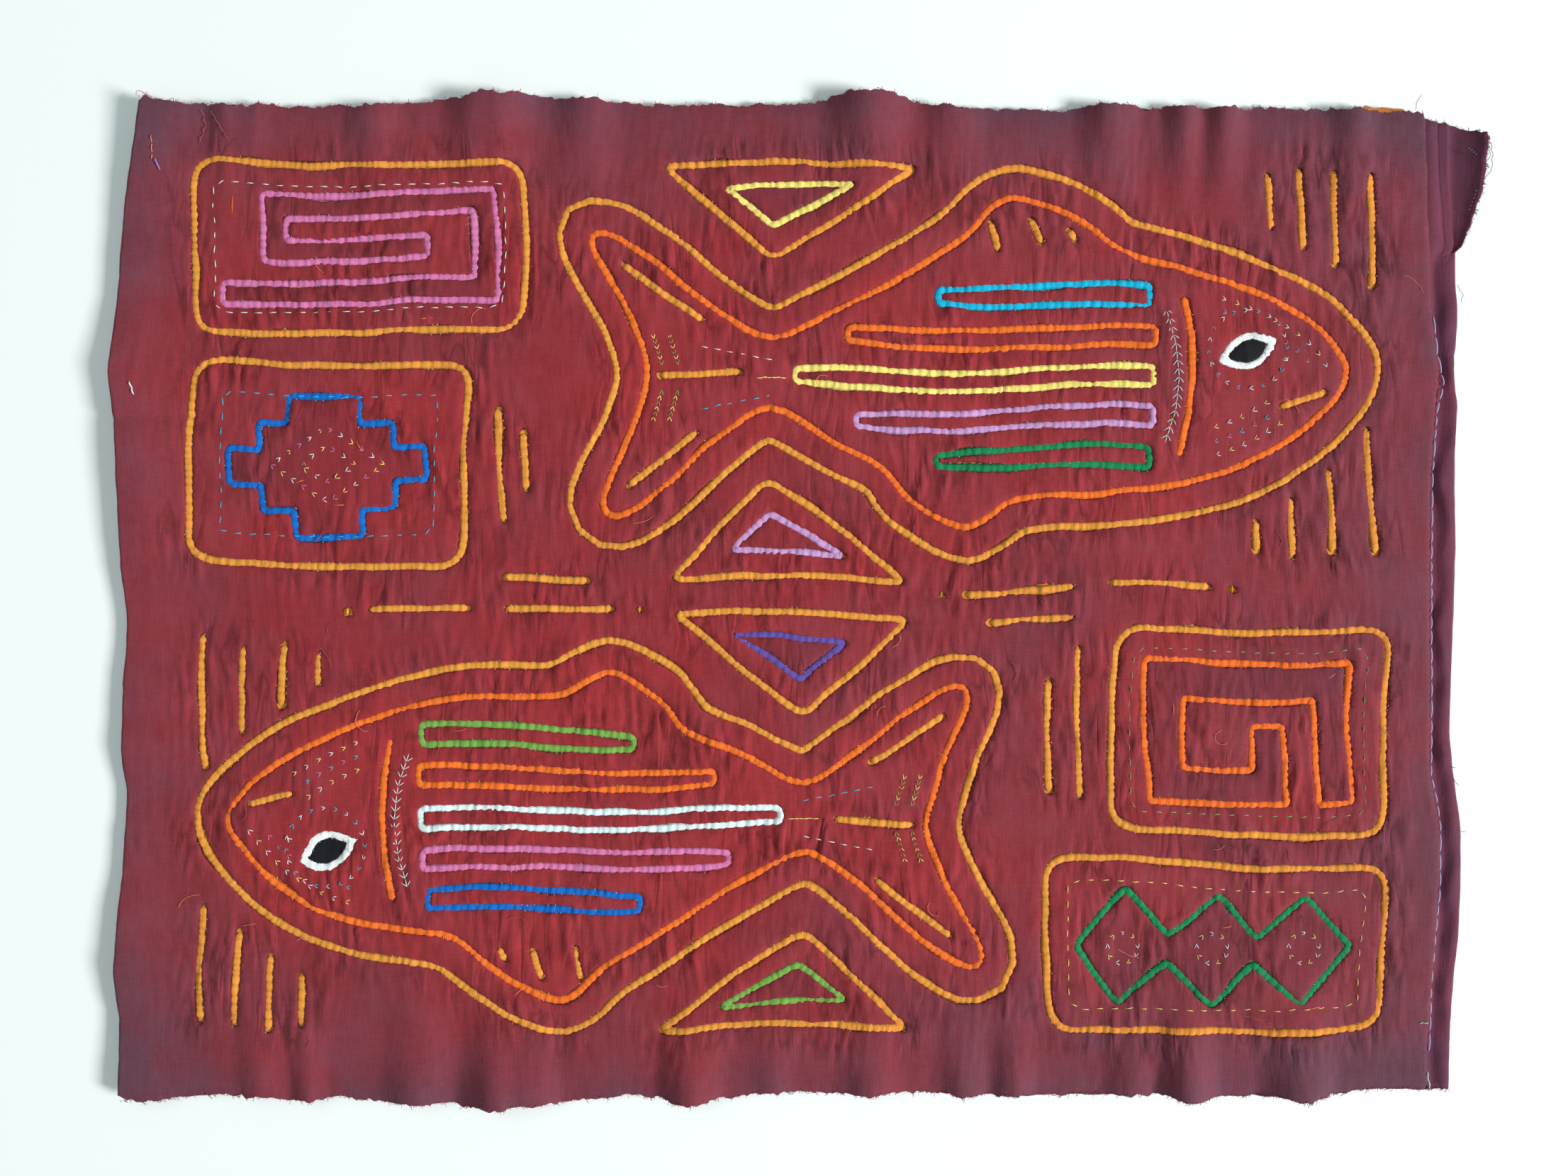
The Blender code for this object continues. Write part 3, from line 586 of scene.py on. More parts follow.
def cut_cloth(loops, level=TOP_LEVEL, raw=0):
    """Points and triangles of a piece of cloth between turned edges; the first raw loops have no turning."""
    near = kdtree.KDTree(sum(len(loop) for loop in loops))
    marks, plan, lines = [], [], []
    for number, loop in enumerate(loops):
        start = len(plan)
        for x, y, nx, ny, pinch in loop:
            near.insert((x, y, 0), len(marks))
            kind = "turned" if number >= raw else "seam" if nx > 0 else "folded" if nx < 0 else "raw"
            marks.append((x, y, nx, ny, pinch, kind))
            plan.append((x, y))
        lines += [(start + i, start + (i + 1) % len(loop)) for i in range(len(loop))]
    near.balance()

    def nearest_edge(x, y):
        """How far the nearest edge is from a place, and whether the place is on the cloth's side of it."""
        _, index, distance = near.find((x, y, 0))
        edge_x, edge_y, nx, ny, *_ = marks[index]
        return distance, (x - edge_x) * nx + (y - edge_y) * ny < 0

    for loop in loops:
        for inset, every in RINGS:
            for x, y, nx, ny, _ in loop[::every]:
                px, py = x - nx * inset, y - ny * inset
                if nearest_edge(px, py)[0] > 0.8 * inset:
                    plan.append((px, py))
    xs, ys = [x for x, y in plan], [y for x, y in plan]
    low_x, high_x, low_y, high_y = min(xs), max(xs), min(ys), max(ys)
    for j in range(int((high_y - low_y) / FIELD_PITCH[1])):
        y = low_y + j * FIELD_PITCH[1]
        for i in range(int((high_x - low_x) / FIELD_PITCH[0]) + 1):
            x = low_x + (i + 0.5 * (j % 2)) * FIELD_PITCH[0]
            distance, on_cloth = nearest_edge(x, y)
            if on_cloth and distance > FIELD_FROM:
                plan.append((x, y))
    spots, _, triangles, origins, _, _ = delaunay_2d_cdt([Vector(p) for p in plan], lines, [], 1, 1e-5, True)
    on_edge = [not origin or min(origin) < len(marks) for origin in origins]
    # A triangle with all its corners on edges may be a hole, so its middle decides.
    triangles = [
        triangle for triangle in triangles
        if not all(on_edge[i] for i in triangle)
        or nearest_edge(sum(spots[i].x for i in triangle) / 3, sum(spots[i].y for i in triangle) / 3)[1]
    ]
    used = sorted({index for triangle in triangles for index in triangle})
    renumber = {index: k for k, index in enumerate(used)}
    points = []
    for index in used:
        x, y = spots[index]
        _, nearest, distance = near.find((x, y, 0))
        *_, pinch, kind = marks[nearest]
        z = level + lie(x, y)
        hollow_shade = 0.0
        grouped = min(1.0, max(0.2, 0.68 + 1.4 * rough(x, y, 17, 12.0)))
        gathering = grouped * (1 - eased((distance - 3) / 8)) if kind == "turned" else 0.0
        crinkle = wrinkle(x, y) * (0.22 + 0.9 * gathering)
        if kind in ("turned", "seam"):
            z += PLUMP * eased(distance / 1.9) - EDGE_DROP * (1 - min(1.0, distance / EDGE_ROUND)) ** 2
            z += crinkle * eased((distance + 0.4) / 1.4) - 0.2 * pinch * (1 - min(1.0, distance / 1.2))
            # Painted shade in the narrow hollow along the turned edge.
            hollow_shade = 1 - min(1.0, distance / 0.4)
        else:
            z += PLUMP + crinkle - (0.5 * (1 - eased(distance / 3)) if kind == "raw" else 0)
        # Painted shade also in the valleys of the wrinkles.
        points.append((x, y, z, min(1.0, hollow_shade + max(0.0, -0.9 * crinkle)), gathering))
    return points, [tuple(renumber[i] for i in triangle) for triangle in triangles]


def top_outline():
    """The top cloth's own outline, anticlockwise, and how many of its points run down the left fold."""
    lower = [(-210 + 0.6 * k, edge_at(BOTTOM_EDGE, -210 + 0.6 * k) + 0.3) for k in range(680)]
    upper = [(196.8 - 0.6 * k, edge_at(TOP_EDGE, 196.8 - 0.6 * k) - 0.1) for k in range(669)]
    right = [(edge_at(SEAM_EDGE, y), y) for y in range(-152, 152, 1)]
    left = [(edge_at(LEFT_EDGE, y) + 1.0, y) for y in range(156, -156, -1)]
    edge = []
    for line, nx, ny in ((lower, 0, -1), (right, 1, 0), (upper, 0, 1), (left, -1, 0)):
        for x, y in line:
            if ny:
                y += frayed(x, 91.0)
            elif nx > 0:
                x += 0.2 * rough(0, y, 3, 93.0)
            edge.append((x, y, nx, ny, 0.0))
    return edge, len(left)


FISH_OUTLINE = (
    (108, 2), (104, 9), (92, 20), (74, 29), (54, 35), (36, 39), (24, 48), (6, 56), (-3, 55), (-13, 45),
    (-34, 32), (-56, 19), (-74, 11), (-92, 21), (-112, 38), (-126, 46), (-130, 41), (-118, 20), (-112, 2),
    (-117, -16), (-127, -36), (-123, -42), (-108, -34), (-90, -19), (-74, -10), (-54, -20), (-38, -28),
    (-30, -38), (-16, -46), (-8, -44), (4, -38), (30, -37), (54, -33), (76, -26), (94, -15), (105, -5),
)
FISH_PLACES = (("upper", (65.5, 70.0), 1), ("lower", (-72.5, -68.6), -1))
BAND = 7.0  # width of the red band round a fish
BLOCKS = (  # name, corners of the amber line, motif, centre of the motif
    ("spiral_block", ((-191, 84), (-88, 85), (-85, 137), (-189, 138)), "spiral", (-138.5, 111.0)),
    ("cross_block", ((-192, 12), (-107, 10), (-102, 74), (-190, 75)), "cross", (-148.0, 42.7)),
    ("chain_block", ((80, -136), (183, -135), (185, -84), (77, -82)), "chain", (131.0, -109.4)),
    ("hook_block", ((97, -73), (184, -74), (186, -9), (101, -10)), "hook", (142.0, -41.5)),
)
TRIANGLES = (
    ("triangle_1", ((-8, 107), (38, 137), (-42, 137))),
    ("triangle_2", ((-41, 7), (33, 6), (-10, 38))),
    ("triangle_3", ((1, -105), (-44, -135), (35, -134))),
    ("triangle_4", ((34, -5), (-40, -4), (3, -37))),
)
BLOCK_ROUNDING = 9
TRIANGLE_ROUNDING = 4
AMBER_GAP = 0.74  # from the middle of a ridge to the turned edge
COLOUR_GAP = 0.58


def smooth(points, steps):
    """A closed Catmull-Rom curve through the points."""
    curve = []
    count = len(points)
    for i in range(count):
        a, b, c, d = (points[(i + k) % count] for k in (-1, 0, 1, 2))
        for step in range(steps):
            t = step / steps
            curve.append(tuple(
                b[k] + t * (c[k] - a[k] + t * (2 * a[k] - 5 * b[k] + 4 * c[k] - d[k]
                + t * (3 * b[k] - a[k] - 3 * c[k] + d[k]))) / 2
                for k in (0, 1)
            ))
    return curve


def cut_through(line, middle, ridges):
    """Cuts cloth along a line. Adds the ridge in the cut and gives the turned edges outside and inside it."""
    ridges.add(line.at(middle))
    half = AMBER_GAP if ridges is amber_lines else COLOUR_GAP
    return turned_edge(line.at(middle + half), False), turned_edge(line.at(middle - half), True)


def opened_slit(path, ridges, outline=None):
    """Opens a slit in cloth along a path. Adds the ridge that fills it and gives its turned edge."""
    ridges.add([hand_cut(x, y) for x, y in evened(path, CUT_STEP, False)], closed=False)
    return turned_edge(CutLine(outline or slit_outline(*path)).at(AMBER_GAP - LINE / 2), False)


fish_shapes, filler_edges, windows = {}, {}, []
for fish, centre, facing in FISH_PLACES:
    outline = CutLine(smooth(FISH_OUTLINE, 4), 0, centre, facing)
    window, band_edge = cut_through(outline, BAND + LINE, amber_lines)
    fish_shapes[fish] = (outline, band_edge)
    windows.append(window)
filler_outlines = [(block, corners, BLOCK_ROUNDING) for block, corners, _, _ in BLOCKS]
filler_outlines += [(triangle, corners, TRIANGLE_ROUNDING) for triangle, corners in TRIANGLES]
for filler, corners, rounding in filler_outlines:
    window, filler_edges[filler] = cut_through(CutLine(corners, rounding), 0, amber_lines)
    windows.append(window)
windows += [opened_slit(ends, amber_lines) for ends in SLITS]

# The left fold goes on from the cloth's edge: rows of points round the fold and under it.
outline, left_count = top_outline()
top_points, top_faces = cut_cloth([outline] + windows, raw=1)
corner = kdtree.KDTree(len(top_points))
for i, point in enumerate(top_points):
    corner.insert((point[0], point[1], 0), i)
corner.balance()
row = [corner.find((x, y, 0))[1] for x, y, *_ in outline[-left_count:]]
for inset, drop in LEFT_ROLL:
    following = range(len(top_points), len(top_points) + left_count)
    for _, y, *_ in outline[-left_count:]:
        fold = edge_at(LEFT_EDGE, y)
        swell = 0.25 * rough(0, y, 7, 95.0) + 0.12 * rough(0, y, 2.5, 96.0)
        under = TOP_LEVEL + PLUMP + drop + lie(fold + 1, y) + 0.25 * wrinkle(fold + 1, y)
        top_points.append((fold + inset - swell * (1 - min(1.0, inset)), y, max(0.06, under), 0.0, 0.0))
    top_faces += [(a, c, d, b) for a, b, c, d in zip(row, row[1:], following, following[1:])]
    row = following
crimson = cotton("red_cotton", RED, RED_BLOOM)
top_cloth = made_piece("top_cloth", top_points, top_faces, crimson, "red_cotton", "top_cloth")
made_piece("amber_ridges", amber_lines.points, amber_lines.faces, golden, "amber_cotton")

# The two fish: each a red band and a red body in the window that was cut round it, with an orange line
# between them. The body's bars are smaller windows with coloured strips laid under their edges.
BARS = (  # name, y, x of the tail end, x of the gill end, height at the gill end
    ("bar_1", 26.0, -22, 45, 9.4), ("bar_2", 13.0, -50, 47, 9.0), ("bar_3", 0.0, -66, 47, 9.0),
    ("bar_4", -12.8, -46, 47, 9.0), ("bar_5", -25.4, -22, 45, 9.2),
)
BAR_ROUNDING = 1.6
BAR_COLOURS = {
    "upper": ("turquoise", "orange", "yellow", "lilac", "green"),
    "lower": ("blue", "pink", "ice", "orange", "leaf"),
}
GILL = ((55.5, 26), (58.5, 13), (59.5, 0), (58.5, -12), (55.0, -25))
EYE_CENTRE = (76.0, 9.0)
EYE_SIZE = (18.0, 10.4)
EYE_TILT = math.radians(22)
EYE_RIM = 2.2
EYE_TUCK = 1.4  # how far the white patch reaches under the body
BLACK_TUCK = 1.5  # and the black one under the white
EYE_LEVEL = 1.7
MOUTH = ((101.0, -4.0), (86.5, -8.0))
TAIL_SLITS = (((-121, 37), (-97, 19)), ((-108, 1), (-84, 1)), ((-119, -33), (-96, -17)))
FIN_SLITS = (((19, 45.5), (21, 42)), ((7, 50), (10, 42)), ((-5, 49), (-3, 40)))
DYES = {  # colour, and the colour it has faded to in patches
    "orange": ((0.860, 0.170, 0.024), (0.720, 0.115, 0.018)),
    "blue": ((0.008, 0.150, 0.560), (0.007, 0.085, 0.380)),
    "pink": ((0.660, 0.185, 0.400), (0.500, 0.130, 0.300)),
    "lilac": ((0.560, 0.310, 0.580), (0.440, 0.220, 0.450)),
    "green": ((0.012, 0.250, 0.090), (0.008, 0.160, 0.055)),
    "leaf": ((0.190, 0.400, 0.075), (0.140, 0.290, 0.050)),
    "yellow": ((0.900, 0.760, 0.200), (0.780, 0.600, 0.120)),
    "turquoise": ((0.010, 0.470, 0.730), (0.008, 0.320, 0.560)),
    "purple": ((0.135, 0.085, 0.360), (0.085, 0.050, 0.250)),
    "ice": ((0.730, 0.880, 0.880), (0.590, 0.760, 0.780)),
    "white": ((0.880, 0.940, 0.940), (0.700, 0.760, 0.760)),
    "black": ((0.009, 0.010, 0.014), (0.016, 0.015, 0.020)),
    "core": ((0.262, 0.027, 0.035), (0.118, 0.037, 0.058)),
    "red": ((0.318, 0.030, 0.036), (0.152, 0.040, 0.058)),
}
dyed_cottons = {}


def dyed_cotton(colour):
    """The cotton of one colour, dyed once."""
    if colour not in dyed_cottons:
        plain = colour in ("core", "red")
        dyed_cottons[colour] = cotton(
            f"{colour}_dyed_cotton", *DYES[colour], 0.8 if plain else 0.5, 0.5 if plain else 0.25,
        )
    return dyed_cottons[colour]


def cloth_piece(name, edges, colour, level=TOP_LEVEL):
    """A piece of cloth between turned edges."""
    cloth = cut_cloth(edges, level)
    made_piece(name, *cloth, dyed_cotton(colour), f"{colour}_cotton", name)


def ridge_piece(name, ridges, colour):
    """The ridge of a strip of coloured cotton that is laid under a cut."""
    made_piece(
        name, ridges.points, ridges.faces, dyed_cotton(colour), f"{colour}_cotton", name,
    )


def band_and_line(name, kind, band_edge, line, colour):
    """The red band from its outer edge to a line, and the coloured line. Gives the edge inside the line."""
    strip = Ridges()
    band_hole, inner_edge = cut_through(line, 0, strip)
    cloth_piece(f"{name}_band", [band_edge, band_hole], "red")
    ridge_piece(f"{name}_{kind}", strip, colour)
    return inner_edge


def eye_outline():
    """The pointed oval of the eye in the fish's own plan."""
    oval = []
    for side in (1, -1):
        for step in range(14):
            t = step / 14
            x = side * EYE_SIZE[0] / 2 * (1 - 2 * t)
            y = side * EYE_SIZE[1] / 2 * math.sin(math.pi * t) ** 0.85
            oval.append((
                EYE_CENTRE[0] + x * math.cos(EYE_TILT) - y * math.sin(EYE_TILT),
                EYE_CENTRE[1] + x * math.sin(EYE_TILT) + y * math.cos(EYE_TILT),
            ))
    return oval


def bar_corners(y, tail_x, gill_x, height):
    """Corners of one bar's cut line: full height at the gill, narrowing towards the tail."""
    half = height / 2 - LINE / 2
    upper = [(gill_x, y + half), (tail_x + 14, y + 0.85 * half), (tail_x, y + 0.62 * half)]
    return [(x, 2 * y - top) for x, top in reversed(upper)] + upper


for fish, centre, facing in FISH_PLACES:
    outline, band_edge = fish_shapes[fish]
    body_edge = band_and_line(f"{fish}_fish", "outline", band_edge, outline, "orange")
    slit_ridges = Ridges()
    holes = [
        opened_slit(placed(ends, centre, facing), slit_ridges) for ends in TAIL_SLITS + FIN_SLITS + (MOUTH,)
    ]
    made_piece(
        f"{fish}_fish_slits", slit_ridges.points, slit_ridges.faces, golden, "amber_cotton",
    )
    for (bar, *size), colour in zip(BARS, BAR_COLOURS[fish]):
        strip = Ridges()
        line = CutLine(bar_corners(*size), BAR_ROUNDING, centre, facing)
        hole, bar_edge = cut_through(line, 0, strip)
        holes.append(hole)
        ridge_piece(f"{fish}_fish_{bar}_line", strip, colour)
        cloth_piece(f"{fish}_fish_{bar}", [bar_edge], "red")
    gill = [(x - LINE / 2, y) for x, y in GILL] + [(x + LINE / 2, y) for x, y in reversed(GILL)]
    strip = Ridges()
    holes.append(opened_slit(placed(GILL, centre, facing), strip, placed(gill, centre, facing)))
    ridge_piece(f"{fish}_fish_gill", strip, "orange")
    eye = CutLine(eye_outline(), 0, centre, facing)
    holes.append(turned_edge(eye.at(0), False))
    white_edges = [turned_edge(eye.at(EYE_TUCK), True), turned_edge(eye.at(-EYE_RIM), False)]
    cloth_piece(f"{fish}_fish_eye_white", white_edges, "white", EYE_LEVEL)
    black_edge = turned_edge(eye.at(-EYE_RIM + BLACK_TUCK), True)
    cloth_piece(f"{fish}_fish_eye_black", [black_edge], "black", EYE_LEVEL - 0.2)
    cloth_piece(f"{fish}_fish_body", [body_edge] + holes, "red")

# The four blocks and four triangles that fill the corners and gaps: each a red band round a coloured line,
# whose strip is laid under the cut, and a core of the same red cloth inside it.
MOTIFS = {
    "spiral": (
        (-43, -17.5), (43, -17.5), (43, 17.5), (-30, 17.5), (-30, -3.5), (22, -3.5), (22, 3.5), (-23, 3.5),
        (-23, 10.5), (36, 10.5), (36, -10.5), (-43, -10.5),
    ),
    "cross": (
        (-11, -22.5), (11, -22.5), (11, -14), (21, -14), (21, -5.5), (31, -5.5), (31, 5.5), (21, 5.5),
        (21, 14), (11, 14), (11, 22.5), (-11, 22.5), (-11, 14), (-21, 14), (-21, 5.5), (-31, 5.5),
        (-31, -5.5), (-21, -5.5), (-21, -14), (-11, -14),
    ),
    "chain": (
        (-43, 0), (-29, -17.5), (-15, -4.2), (-1, -17.5), (13, -4.2), (28, -17.5), (43, 0), (28, 17.5),
        (14, 4.2), (1, 17.5), (-15, 4.2), (-29, 17.5),
    ),
    "hook": (
        (-32, -22.5), (11, -22.5), (11, 3), (1, 3), (1, -11.5), (-20, -11.5), (-20, 11), (21, 11),
        (21, -22.5), (32, -22.5), (32, 22.5), (-32, 22.5),
    ),
}
FILLER_COLOURS = {
    "spiral_block": "pink", "cross_block": "blue", "chain_block": "green", "hook_block": "orange",
    "triangle_1": "yellow", "triangle_2": "lilac", "triangle_3": "leaf", "triangle_4": "purple",
}
TRIANGLE_BAND = 8.6
MOTIF_ROUNDING = 1.5
fillers = [(block, CutLine(MOTIFS[motif], MOTIF_ROUNDING, centre)) for block, _, motif, centre in BLOCKS]
fillers += [
    (triangle, CutLine(parallel(anticlockwise(list(corners)), -TRIANGLE_BAND), MOTIF_ROUNDING))
    for triangle, corners in TRIANGLES
]
for filler, line in fillers:
    core_edge = band_and_line(filler, "line", filler_edges[filler], line, FILLER_COLOURS[filler])
    cloth_piece(f"{filler}_core", [core_edge], "core")

# The whip stitches that hold the turned edges down: a tiny slanting stitch of sewing thread every two or
# three millimetres along every edge, most in red and some in a pale colour that is a painted highlight.
THREAD = 0.13
WHIP_THREAD = 0.085
HIGHLIGHT_SHARE = 0.3


class Threads:
    """Threads of one colour, gathered as one mesh."""

    def __init__(self):
        self.points, self.faces = [], []

    def add(self, path, radius=THREAD, sides=4):
        """Adds a thread along points in space."""
        first = len(self.points)
        for i, here in enumerate(path):
            ahead, behind = path[min(i + 1, len(path) - 1)], path[max(i - 1, 0)]
            along = Vector(ahead) - Vector(behind)
            side = Vector((along.y, -along.x, 0))
            side = side.normalized() if side.length > 1e-6 else Vector((1, 0, 0))
            up = side.cross(along).normalized()
            thick = radius * (0.6 if i in (0, len(path) - 1) else 1)
            for k in range(sides):
                turn = math.tau * k / sides
                self.points.append(tuple(
                    Vector(here) + thick * (math.cos(turn) * side + math.sin(turn) * up)
                ))
        for i in range(len(path) - 1):
            a, b = first + i * sides, first + (i + 1) * sides
            for k in range(sides):
                j = (k + 1) % sides
                self.faces.append((a + k, b + k, b + j, a + j))
        self.faces.append(tuple(first + k for k in range(sides)))
        self.faces.append(tuple(first + (len(path) - 1) * sides + k for k in reversed(range(sides))))

    def made(self, name, colour, slot):
        """The piece of all the threads."""
        toned_colour = tuple(0.72 * channel for channel in colour)
        thread = cotton(f"{name}_dye", colour, toned_colour, patch=0.5, crease_shade=0.1, relief=0.0, sheen=0.3)
        return made_piece(name, self.points, self.faces, thread, slot)


chance = random.Random(8)
highlight_whips, red_whips = Threads(), Threads()
for x, y, nx, ny in whip_places:
    lean = chance.uniform(0.1, 0.5)
    reach = chance.uniform(0.32, 0.5)
    on_ridge = (x + nx * 0.1 - ny * lean, y + ny * 0.1 + nx * lean)
    on_cloth = (x - nx * reach, y - ny * reach)
    rise = lie(x, y) + 0.55 * wrinkle(x, y)
    group = highlight_whips if chance.random() < HIGHLIGHT_SHARE else red_whips
    group.add([
        (*on_ridge, rise + 1.74), (x - nx * 0.2, y - ny * 0.2, rise + 1.76), (*on_cloth, rise + 1.62),
    ], WHIP_THREAD)
whip_stitches = [
    # The pale stitches' colour is a painted highlight on the stitches.
    highlight_whips.made("highlight_whip_stitches", (0.800, 0.560, 0.330), "yellow_cotton"),
    red_whips.made("red_whip_stitches", (0.360, 0.050, 0.055), "red_cotton"),
]

# The sewing along the right: a back stitch of lilac thread through the seam of the turned side, which ends
# unsewn below the flap.
SEAM_PATH = (  # x, y
    (198.4, -141.8), (199, -121.5), (200.1, -108), (202, -90.5), (201.9, -82), (202, -72.1), (200.9, -63.6),
    (199, -55), (199.4, -31.9), (199.2, -11.9), (199.1, 10.5), (199.6, 38.8), (200.4, 51.4), (201, 59.4),
    (203.2, 68), (202.3, 72.5), (201, 79.4), (200.3, 86.4), (199.6, 92.9),
)
SEAM_THREAD = 0.21
seam_thread = Threads()
path = evened(SEAM_PATH, 0.5, False)
at = 0
while at < len(path) - 12:
    count = chance.randint(7, 12)
    stitch = path[at:at + count]
    seam_thread.add([
        (x + 0.3, y, lie(x, y) + 1.15 + 0.55 * math.sin(math.pi * i / (count - 1)))
        for i, (x, y) in enumerate(stitch)
    ], SEAM_THREAD, 6)
    at += count + chance.randint(0, 1)
seam_thread.made("seam_stitches", (0.580, 0.500, 0.790), "lilac_cotton")

# The surface embroidery on the fish and the blocks, each row in one thin thread: fly stitches like small
# arrow heads, running stitch, and a feather stitch behind each gill.
STITCH_LIFT = TOP_LEVEL + PLUMP + 0.08
DASH_EVERY, DASH_LENGTH = 4.6, 2.3
FEATHER_EVERY = 2.6
embroidery = {colour: Threads() for colour in ("ice", "yellow", "turquoise", "pink", "leaf", "orange")}


def laid(x, y, lift=STITCH_LIFT):
    """A point of a thread that lies on the top cloth."""
    return x, y, lie(x, y) + 0.7 * wrinkle(x, y) + lift


def tick(colour, start, end, radius=0.13):
    """One straight stitch."""
    middle = ((start[0] + end[0]) / 2, (start[1] + end[1]) / 2)
    embroidery[colour].add([
        laid(*start, STITCH_LIFT - 0.15), laid(*middle, STITCH_LIFT + 0.05), laid(*end, STITCH_LIFT - 0.15),
    ], radius)


def along(path, every, clear=()):
    """Places and directions at even steps along a path, kept clear of round places (x, y, radius)."""
    steps = evened(path, every, False)
    for here, ahead in zip(steps, steps[1:]):
        if all(math.dist(here, spot[:2]) > spot[2] for spot in clear):
            length = math.dist(here, ahead)
            yield here, ((ahead[0] - here[0]) / length, (ahead[1] - here[1]) / length)


def fly_stitches(path, colours, clear=(), size=1.7, every=4.3):
    """A row of small arrow heads, in these colours by turns."""
    for number, ((x, y), (dx, dy)) in enumerate(along(path, every, clear)):
        for side in (1, -1):
            turn = side * chance.uniform(0.35, 0.6)
            bx, by = dx * math.cos(turn) - dy * math.sin(turn), dx * math.sin(turn) + dy * math.cos(turn)
            tick(colours[number % len(colours)], (x, y), (x + size * bx, y + size * by))


def running_stitches(path, colour):
    """A row of dashes."""
    for (x, y), (dx, dy) in along(path, DASH_EVERY):
        slip = chance.uniform(-0.12, 0.12)
        end = (x + DASH_LENGTH * (dx - dy * slip), y + DASH_LENGTH * (dy + dx * slip))
        tick(colour, (x, y), end, 0.15)


def feather_stitches(path, colour):
    """A spine with short stitches slanting off both sides."""
    for (x, y), (dx, dy) in along(path, FEATHER_EVERY):
        tick(colour, (x, y), (x + FEATHER_EVERY * dx, y + FEATHER_EVERY * dy), 0.12)
        for side in (1, -1):
            tick(colour, (x, y), (x + 1.7 * dx - side * 1.6 * dy, y + 1.7 * dy + side * 1.6 * dx), 0.12)


def ring(centre, radius, step, count):
    """Points round a circle."""
    turns = (step * k for k in range(count))
    return [(centre[0] + radius * math.cos(turn), centre[1] + radius * math.sin(turn)) for turn in turns]


HEAD_FROM = 65
HEAD_ROWS = ((-5.5, ("ice", "yellow")), (-9.5, ("turquoise", "pink")), (-13.5, ("yellow", "ice")))
TAIL_ROWS = ((6.5, -96, -72, "ice"), (-6.5, -96, -72, "turquoise"), (0, -79, -70, "yellow"))
BLOCK_ROWS = ((1, -9.5, "turquoise"), (0, -6.5, "ice"), (2, -7, "yellow"), (3, -6, "leaf"))
for fish, centre, facing in FISH_PLACES:
    eye_at, mouth_at = placed((EYE_CENTRE, (93, -6)), centre, facing)
    for inset, colours in HEAD_ROWS:
        loop = fish_shapes[fish][0].at(inset)
        tail = min(range(len(loop)), key=lambda i: facing * loop[i][0])
        head = [point for point in loop[tail:] + loop[:tail] if facing * (point[0] - centre[0]) > HEAD_FROM]
        fly_stitches(head, colours, ((*eye_at, 12), (*mouth_at, 10)))
    fly_stitches(ring(eye_at, 12.5, 0.1, 64), ("turquoise", "ice"), ((*mouth_at, 9),), 1.5, 4.0)
    feather_stitches(placed([(x - 5.2, 0.82 * y) for x, y in GILL], centre, facing), "ice")
    for y, x_from, x_to, colour in TAIL_ROWS:
        row = [(x, y * (0.8 - 0.03 * (x + 72))) for x in (x_from, x_to)]
        running_stitches(placed(row, centre, facing), colour)
    for x in (-107, -102):
        for side in (1, -1):
            row = placed([(x - 0.3 * y, side * y) for y in range(4, 16, 2)], centre, facing)
            fly_stitches(row, ("leaf", "yellow"), (), 1.6, 4.4)
for number, inset, colour in BLOCK_ROWS:
    loop = CutLine(BLOCKS[number][1], BLOCK_ROUNDING).at(inset)
    running_stitches(loop + loop[:1], colour)
cross, chain = BLOCKS[1][3], BLOCKS[2][3]
for reach in (6, 12):
    diamond = [(1.5 * reach * a, reach * b) for a, b in ((1, 0), (0, 1), (-1, 0), (0, -1), (1, 0))]
    fly_stitches(placed(diamond, cross), ("yellow", "ice", "pink"), (), 1.7, 3.9)
for x in (-29, -1, 28):
    fly_stitches(ring((chain[0] + x, chain[1]), 5, 0.2, 33), ("ice", "yellow"), (), 1.6, 3.4)
for x, y, dx, dy in (
    (-158, 37, 3, 1), (-139, 50, 2, -3), (-146, 30, 4, 0), (118, -36, 0, 4), (166, -25, 3, 2),
    (133, -103, 3, 0.5), (-120, 88.5, 5, 0.4), (-178, 122, 0.3, 5), (160, -128, 4, 0.5),
):
    tick("orange", (x, y), (x + dx, y + dy), 0.16)
embroidered = [
    threads.made(f"{colour}_embroidery", DYES[colour][0], f"{colour}_cotton")
    for colour, threads in embroidery.items() if threads.points
]

# Fibres: the short ends that stand out of every raw edge, the unpicked threads at the flap and the corner,
# and curled fluff from the coloured cloths that has settled on the panel.
red_fibres, dark_fibres, bright_fibres, pale_threads = Threads(), Threads(), Threads(), Threads()


def raw_fibres(x, y, height, outward, group, share=1.0):
    """A few fibre ends at one place of a raw edge."""
    angle = outward + chance.uniform(-0.9, 0.9)
    reach = share * chance.choice((0.6, 0.7, 0.8, 0.9, 1.0, 1.2, 1.8))
    bend = chance.uniform(-0.9, 0.9)
    points = []
    for step in range(4):
        t = step / 3
        a = angle + bend * t
        points.append((
            x + (reach * t - 0.35) * math.cos(a), y + (reach * t - 0.35) * math.sin(a),
            max(0.15, height - 0.3 * t * t + chance.uniform(-0.1, 0.25) * t),
        ))
    group.add(points, chance.uniform(0.06, 0.12), 3)


